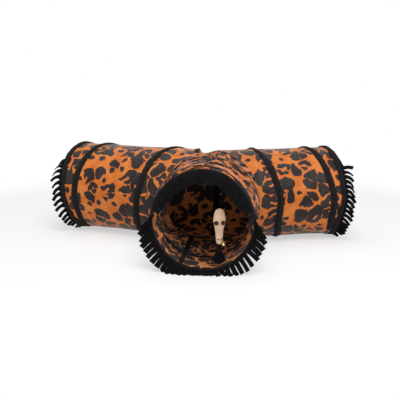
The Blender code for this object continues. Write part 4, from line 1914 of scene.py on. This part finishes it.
@dataclass(frozen=True)
class ToyHead:
    """The carved long-nosed head, given by its half widths from top to tip."""

    length: float = 0.0885
    thickness: float = 0.012
    turn: float = math.radians(-20)
    drops: Floats = (0.0, 0.04, 0.13, 0.25, 0.36, 0.50, 0.66, 0.82, 0.94, 1.0)
    half_widths: Floats = (
        0.0045, 0.0094, 0.0130, 0.0149, 0.0155, 0.0122, 0.0098, 0.0086, 0.0074, 0.0042,
    )
    holes: tuple[Hole, ...] = (
        Hole(0.0084, 0.0354, 0.0060, 0.0046), Hole(0.0035, 0.0745, 0.0018, 0.0018),
    )
    round_top: float = 0.035
    round_tip: float = 0.028
    brow: float = 0.0008
    brow_down: float = 0.026
    brow_spread: float = 0.007
    lip: float = 0.0004
    rows: int = 150
    columns: int = 112
    smoothing: int = 13
    chart_width: float = 0.06

    def half_width(self, share: Array) -> Array:
        """Rounds the outline off between its given widths and at both ends.

        Args:
            share: places from the head's top at 0 to its tip at 1.

        Returns:
            The half width at each place.
        """
        half = np.interp(share, self.drops, self.half_widths)
        kernel = np.hanning(self.smoothing)
        half = np.pad(half, self.smoothing // 2, "edge")
        half = np.convolve(half, kernel / kernel.sum(), "valid")
        ends = np.minimum(share / self.round_top, (1 - share) / self.round_tip)
        return half * np.sqrt(np.clip(ends, 0.02, 1))

    def build(self, finishes: Finishes) -> None:
        """Carves the head with its brow, eye sockets and nostrils.

        Args:
            finishes: the finishes.
        """
        top = np.array(joint_place("toy_tilt"))
        even = np.linspace(0, 1, self.rows)
        share = 0.5 * (0.5 - 0.5 * np.cos(math.pi * even)) + 0.5 * even
        half = self.half_width(share)
        deep = self.thickness / 2 * (half / max(self.half_widths)) ** 0.5
        angle = math.tau * np.arange(self.columns) / self.columns
        front = deep[:, None] * np.cos(angle)
        across = half[:, None] * np.sin(angle)
        drop = np.broadcast_to(share[:, None] * self.length, front.shape)
        front = front + self.brow * mound(drop, self.brow_down, self.brow_spread) * (front > 0)
        mark = np.zeros(front.shape)
        for hole in self.holes:
            for side in (-1, 1):
                away = np.hypot(across - side * hole.spread, drop - hole.down) / hole.radius
                bowl = np.sqrt(np.clip(1 - away ** 2, 0, 1)) * (front > 0)
                lip = self.lip * mound(away, 1.15, 0.16) * (front > 0)
                front = front - hole.depth * bowl + lip
                # The mark sets where painted shade darkens the hole, most in its middle.
                mark = np.maximum(mark, rise(bowl, 0.08, 0.5))
        cos, sin = math.cos(self.turn), math.sin(self.turn)
        points = top + stacked(across * cos - front * sin, -(front * cos + across * sin), -drop)
        round_it = np.linspace(0, self.chart_width, self.columns + 1)
        charts = stacked(round_it[None, :], (share * self.length)[:, None])
        piece = PieceMesh("toy_carved_head").grid(points, charts, marks=mark).build(finishes.wood)
        report(piece, Slot.WOOD, "toy_head")
        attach(piece, "toy_head")


@dataclass(frozen=True)
class ToyTail:
    """The felt strips that fan out under the nose."""

    strips: int = 5
    length: float = 0.049
    flat_width: float = 0.026
    fan: float = math.radians(9.5)
    shorter: float = 0.055
    curl: float = 0.008
    layer: float = 0.0014
    spacing: float = 0.0018
    root_half: float = 0.0012
    flare: float = 0.0030
    steps: int = 15
    seed: int = 77
    chart_size: tuple[float, float] = (0.02, 0.05)
    outline: Profile = ((-1, 0.0005), (0, 0.00065), (1, 0.0005), (1, -0.0005),
                        (0, -0.00035), (-1, -0.0005))

    def build(self, finishes: Finishes) -> None:
        """Hangs the strips on the tail's own body.

        Args:
            finishes: the finishes.
        """
        top = np.array(joint_place("toy_tail_swing"))
        source = np.random.default_rng(self.seed)
        mesh = PieceMesh("toy_tail_strips")
        for k in range(self.strips):
            place = k - (self.strips - 1) / 2
            curl = source.uniform(-0.3, 0.3)
            reach = self.length * (1 - self.shorter * abs(place))
            depth = self.layer * (k % 2 - 0.5)
            rings, charts = [], []
            for run in np.arange(self.steps + 1) / self.steps:
                half = self.root_half + self.flare * run ** 0.8
                angle = self.fan * place * run ** 0.6
                centre = top + np.array((
                    self.spacing * place * (1 - run) + math.sin(angle) * reach * run,
                    depth * (0.3 + run) + curl * self.curl * run ** 2,
                    -reach * run * math.cos(angle) * 0.985,
                ))
                wide = np.array((math.cos(angle), 0.25 * curl * run, math.sin(angle)))
                corners = [(half * a, b) for a, b in self.outline]
                rings.append([centre + wide * a + np.array((0, b, 0)) for a, b in corners])
                wide_chart, long_chart = self.chart_size
                charts.append([(a + wide_chart * k, run * long_chart)
                               for a, b in corners + corners[:1]])
            mesh.grid(np.array(rings), np.array(charts))
        piece = mesh.build(finishes.felt, sharp=40)
        report(piece, Slot.FELT, "toy_tail")
        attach(piece, "toy_tail")


@dataclass(frozen=True)
class ToyBell:
    """The small round bell with its slot, and the wire ring that holds it."""

    radius: float = 0.0040
    ring_radius: float = 0.0022
    ring_wire: float = 0.00035
    seam: float = 0.06
    seam_spread: float = 0.07
    slot: float = 0.16
    slot_width: float = 0.11
    slot_from: tuple[float, float] = (1.95, 2.15)
    pole: float = 0.02

    def shell(self, hook: Array) -> PieceMesh:
        """The bell's round shell, with a seam round it and a slot underneath.

        Args:
            hook: where the bell hangs.

        Returns:
            The shell's mesh, ready to build.
        """
        drop = self.ring_radius + self.ring_wire + SIZES.gap + self.radius
        rows, columns = 41, 48
        tilt = np.linspace(self.pole, math.pi - self.pole, rows)[:, None]
        turn = math.tau * np.arange(columns) / columns
        radius = self.radius * (1 + self.seam * mound(tilt, math.pi / 2, self.seam_spread))
        slot = mound(np.sin(turn) * np.sin(tilt), 0, self.slot_width)
        slot = slot * rise(tilt, *self.slot_from)
        radius = radius * (1 - self.slot * slot)
        mesh = PieceMesh("toy_bell_shell")
        mesh.grid(
            hook + stacked(radius * np.sin(tilt) * np.cos(turn),
                           radius * np.sin(tilt) * np.sin(turn), radius * np.cos(tilt) - drop),
            stacked(np.linspace(0, 1, columns + 1), np.linspace(0, 1, rows)[:, None]))
        return mesh

    def link(self, hook: Array) -> PieceMesh:
        """The ring of wire through the bell's eye.

        Args:
            hook: where the bell hangs.

        Returns:
            The ring's mesh, ready to build.
        """
        rows, columns = 40, 10
        big = math.tau * np.arange(rows)[:, None] / rows
        small = math.tau * np.arange(columns) / columns
        reach = self.ring_radius + self.ring_wire * np.cos(small)
        mesh = PieceMesh("toy_bell_link")
        mesh.grid(
            hook + stacked(reach * np.cos(big), self.ring_wire * np.sin(small),
                           reach * np.sin(big)),
            stacked(np.linspace(0, 1, columns + 1), np.linspace(0, 1, rows + 1)[:, None]),
            wrap_rows=True)
        return mesh

    def build(self, finishes: Finishes) -> None:
        """Builds the bell and its ring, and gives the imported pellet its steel.

        Args:
            finishes: the finishes.
        """
        hook = np.array(joint_place("toy_bell_swing"))
        for mesh, node in ((self.shell(hook), "toy_bell"), (self.link(hook), "toy_bell_ring")):
            piece = mesh.build(finishes.brass)
            report(piece, Slot.BRASS, node)
            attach(piece, "toy_bell")
        pellet = frame["nodes"]["toy_bell_pellet"].data.materials
        pellet.clear()
        pellet.append(finishes.steel)


@dataclass(frozen=True)
class Lamp:
    """A soft square lamp, its place and where it points."""

    name: str
    place: Place
    aim: Place
    size: float
    power: float

    def build(self) -> None:
        """Hangs the lamp."""
        data = bpy.data.lights.new(self.name, "AREA")
        data.size, data.energy = self.size, self.power
        lamp = add_object(self.name, data)
        gaze = Vector(self.aim) - Vector(self.place)
        lamp.location = self.place
        lamp.rotation_euler = gaze.to_track_quat("-Z", "Y").to_euler()


@dataclass(frozen=True)
class Studio:
    """The camera, the pale floor and the soft lights."""

    focal_pixels: float = 668.6
    image_pixels: int = 400
    sensor: float = 36
    height: float = 0.5124
    off_side: float = 0.1488
    off_front: float = -1.8354
    heading: tuple[float, float] = (-0.1009, 0.9949)
    pitch: float = math.radians(12.30)
    floor_colour: Colour = (0.97, 0.97, 0.97)
    floor_side: float = 12.0
    floor_middle: Place = (0, 0.1, 0)
    floor_fade: tuple[float, float] = (0.50, 1.1)
    world_strength: float = 0.34
    lift: float = 0.55
    lamps: tuple[Lamp, ...] = (
        Lamp("key", (0.5, -1.7, 2.2), (0, -0.05, 0.1), 1.5, 50),
        Lamp("top", (-0.3, 0.1, 2.6), (0, 0, 0), 1.8, 16),
    )

    def camera(self) -> None:
        """Puts the camera where the photograph was taken from."""
        data = bpy.data.cameras.new("camera")
        data.sensor_width = self.sensor
        data.sensor_fit = "HORIZONTAL"
        data.lens = self.focal_pixels / self.image_pixels * self.sensor
        camera = add_object("camera", data)
        camera.location = (JUNCTION[0] + self.off_side, JUNCTION[1] + self.off_front, self.height)
        level = math.cos(self.pitch)
        gaze = Vector((self.heading[0] * level, self.heading[1] * level, -math.sin(self.pitch)))
        camera.rotation_euler = gaze.to_track_quat("-Z", "Y").to_euler()
        bpy.context.scene.camera = camera

    def seen(self, sheet: NodeSheet) -> bpy.types.NodeSocket:
        """Is 1 for what the eye, a mirror or glass sees."""
        rays = sheet.add("ShaderNodeLightPath").outputs
        near = sheet.calc("MAXIMUM", rays["Is Camera Ray"], rays["Is Glossy Ray"])
        return sheet.calc("MAXIMUM", near, rays["Is Transmission Ray"])

    def floor(self) -> None:
        """Lays the floor, which fades to plain white away from the tunnel."""
        mesh = bpy.data.meshes.new("floor")
        side = self.floor_side
        mesh.from_pydata([(-side, -side, 0), (side, -side, 0), (side, side, 0), (-side, side, 0)],
                         [], [(0, 1, 2, 3)])
        finish = bpy.data.materials.new("floor")
        finish.use_nodes = True
        finish.node_tree.nodes.clear()
        sheet = NodeSheet(finish.node_tree)
        away = sheet.shift("SUBTRACT", sheet.own_place(), self.floor_middle)
        away = sheet.shift("LENGTH", away)
        share = sheet.calc("MAXIMUM", sheet.step(away, *self.floor_fade), self.lift)
        matt, glow = sheet.add("ShaderNodeBsdfDiffuse"), sheet.add("ShaderNodeEmission")
        sheet.feed(matt.inputs["Color"], self.floor_colour)
        sheet.feed(glow.inputs["Strength"], 1.0)
        mix = sheet.add("ShaderNodeMixShader")
        sources = (sheet.calc("MULTIPLY", share, self.seen(sheet)), matt.outputs[0],
                   glow.outputs[0])
        for socket, source in zip(mix.inputs, sources):
            sheet.feed(socket, source)
        sheet.feed(sheet.add("ShaderNodeOutputMaterial").inputs["Surface"], mix.outputs[0])
        mesh.materials.append(finish)
        add_object("floor", mesh)

    def world(self) -> None:
        """Surrounds the tunnel with soft white light that looks plain white."""
        world = bpy.data.worlds.new("studio")
        world.use_nodes = True
        world.node_tree.nodes.clear()
        sheet = NodeSheet(world.node_tree)
        back = sheet.add("ShaderNodeBackground")
        sheet.feed(back.inputs["Color"], (1, 1, 1))
        sheet.feed(back.inputs["Strength"], sheet.calc(
            "MULTIPLY_ADD", self.seen(sheet), 1 - self.world_strength, self.world_strength))
        sheet.feed(sheet.add("ShaderNodeOutputWorld").inputs["Surface"], back.outputs[0])
        bpy.context.scene.world = world

    def build(self) -> None:
        """Builds the studio."""
        self.camera()
        self.floor()
        self.world()
        for lamp in self.lamps:
            lamp.build()
        bpy.context.scene.view_settings.view_transform = "Standard"


@dataclass(frozen=True)
class Tube:
    """One tube with everything on it.

    Attributes:
        sleeve: its cloth.
        seam_angle: where the cloth's own seam runs, in degrees from the top.
        pose: how its fringe lies.
        seed: where its fringe's small differences come from.
        strips: how many strips its fringe has.
        casing_width: how wide the tape over its wire is.
    """

    sleeve: Sleeve
    seam_angle: float
    pose: StripPose
    seed: int
    strips: int = 60
    casing_width: float = SIDE_CASING_WIDTH

    def build(self, finishes: Finishes) -> None:
        """Builds the tube's pieces.

        Args:
            finishes: the finishes.
        """
        leg = self.sleeve.leg
        root, run = self.sleeve.build(finishes)
        wire, casing, edge = WireAndCasing(leg, self.casing_width).build(finishes)
        inner_seam, seam = LengthSeam(self.sleeve, math.radians(self.seam_angle)).build(finishes)
        binding = Binding(leg).build(finishes)
        fringe = Fringe(leg, self.pose, self.seed, self.strips).build(finishes)
        psi = np.linspace(-math.pi, math.pi, 721)
        mean = float(np.mean(SIZES.split - leg.seam(psi)))


def main() -> None:
    """Builds the studio, the toy and then the tunnel, tube by tube."""
    logging.basicConfig(level=logging.INFO, format="%(name)s: %(message)s")
    Studio().build()
    legs = make_legs()
    right, left, front = legs[Way.RIGHT], legs[Way.LEFT], legs[Way.FRONT]
    finishes = make_finishes()
    ToyCord().yarn(finishes)
    ToyCord().tab(finishes)
    ToyHead().build(finishes)
    ToyTail().build(finishes)
    ToyBell().build(finishes)
    gathered = Sleeve(front, 12, 0.430, Folds(9.6, 0.0062, 0.0124, 1.0), row_step=0.0013)
    for part in (
        Tube(Sleeve(right, 3, 0.352), -115.0, SIDE_POSE, 40),
        Tube(Sleeve(left, 8, 0.430), 115.0, SIDE_POSE, 41, strips=48),
        Tube(gathered, -153.5, FRONT_POSE, 42, casing_width=SIZES.casing_width),
        SeamTape("back_seam", right, left, 1, loose_end=LooseEnd()),
        SeamTape("front_right_seam", front, right, 1),
        SeamTape("front_left_seam", front, left, -1),
    ):
        part.build(finishes)


if __name__ == "__main__":
    main()
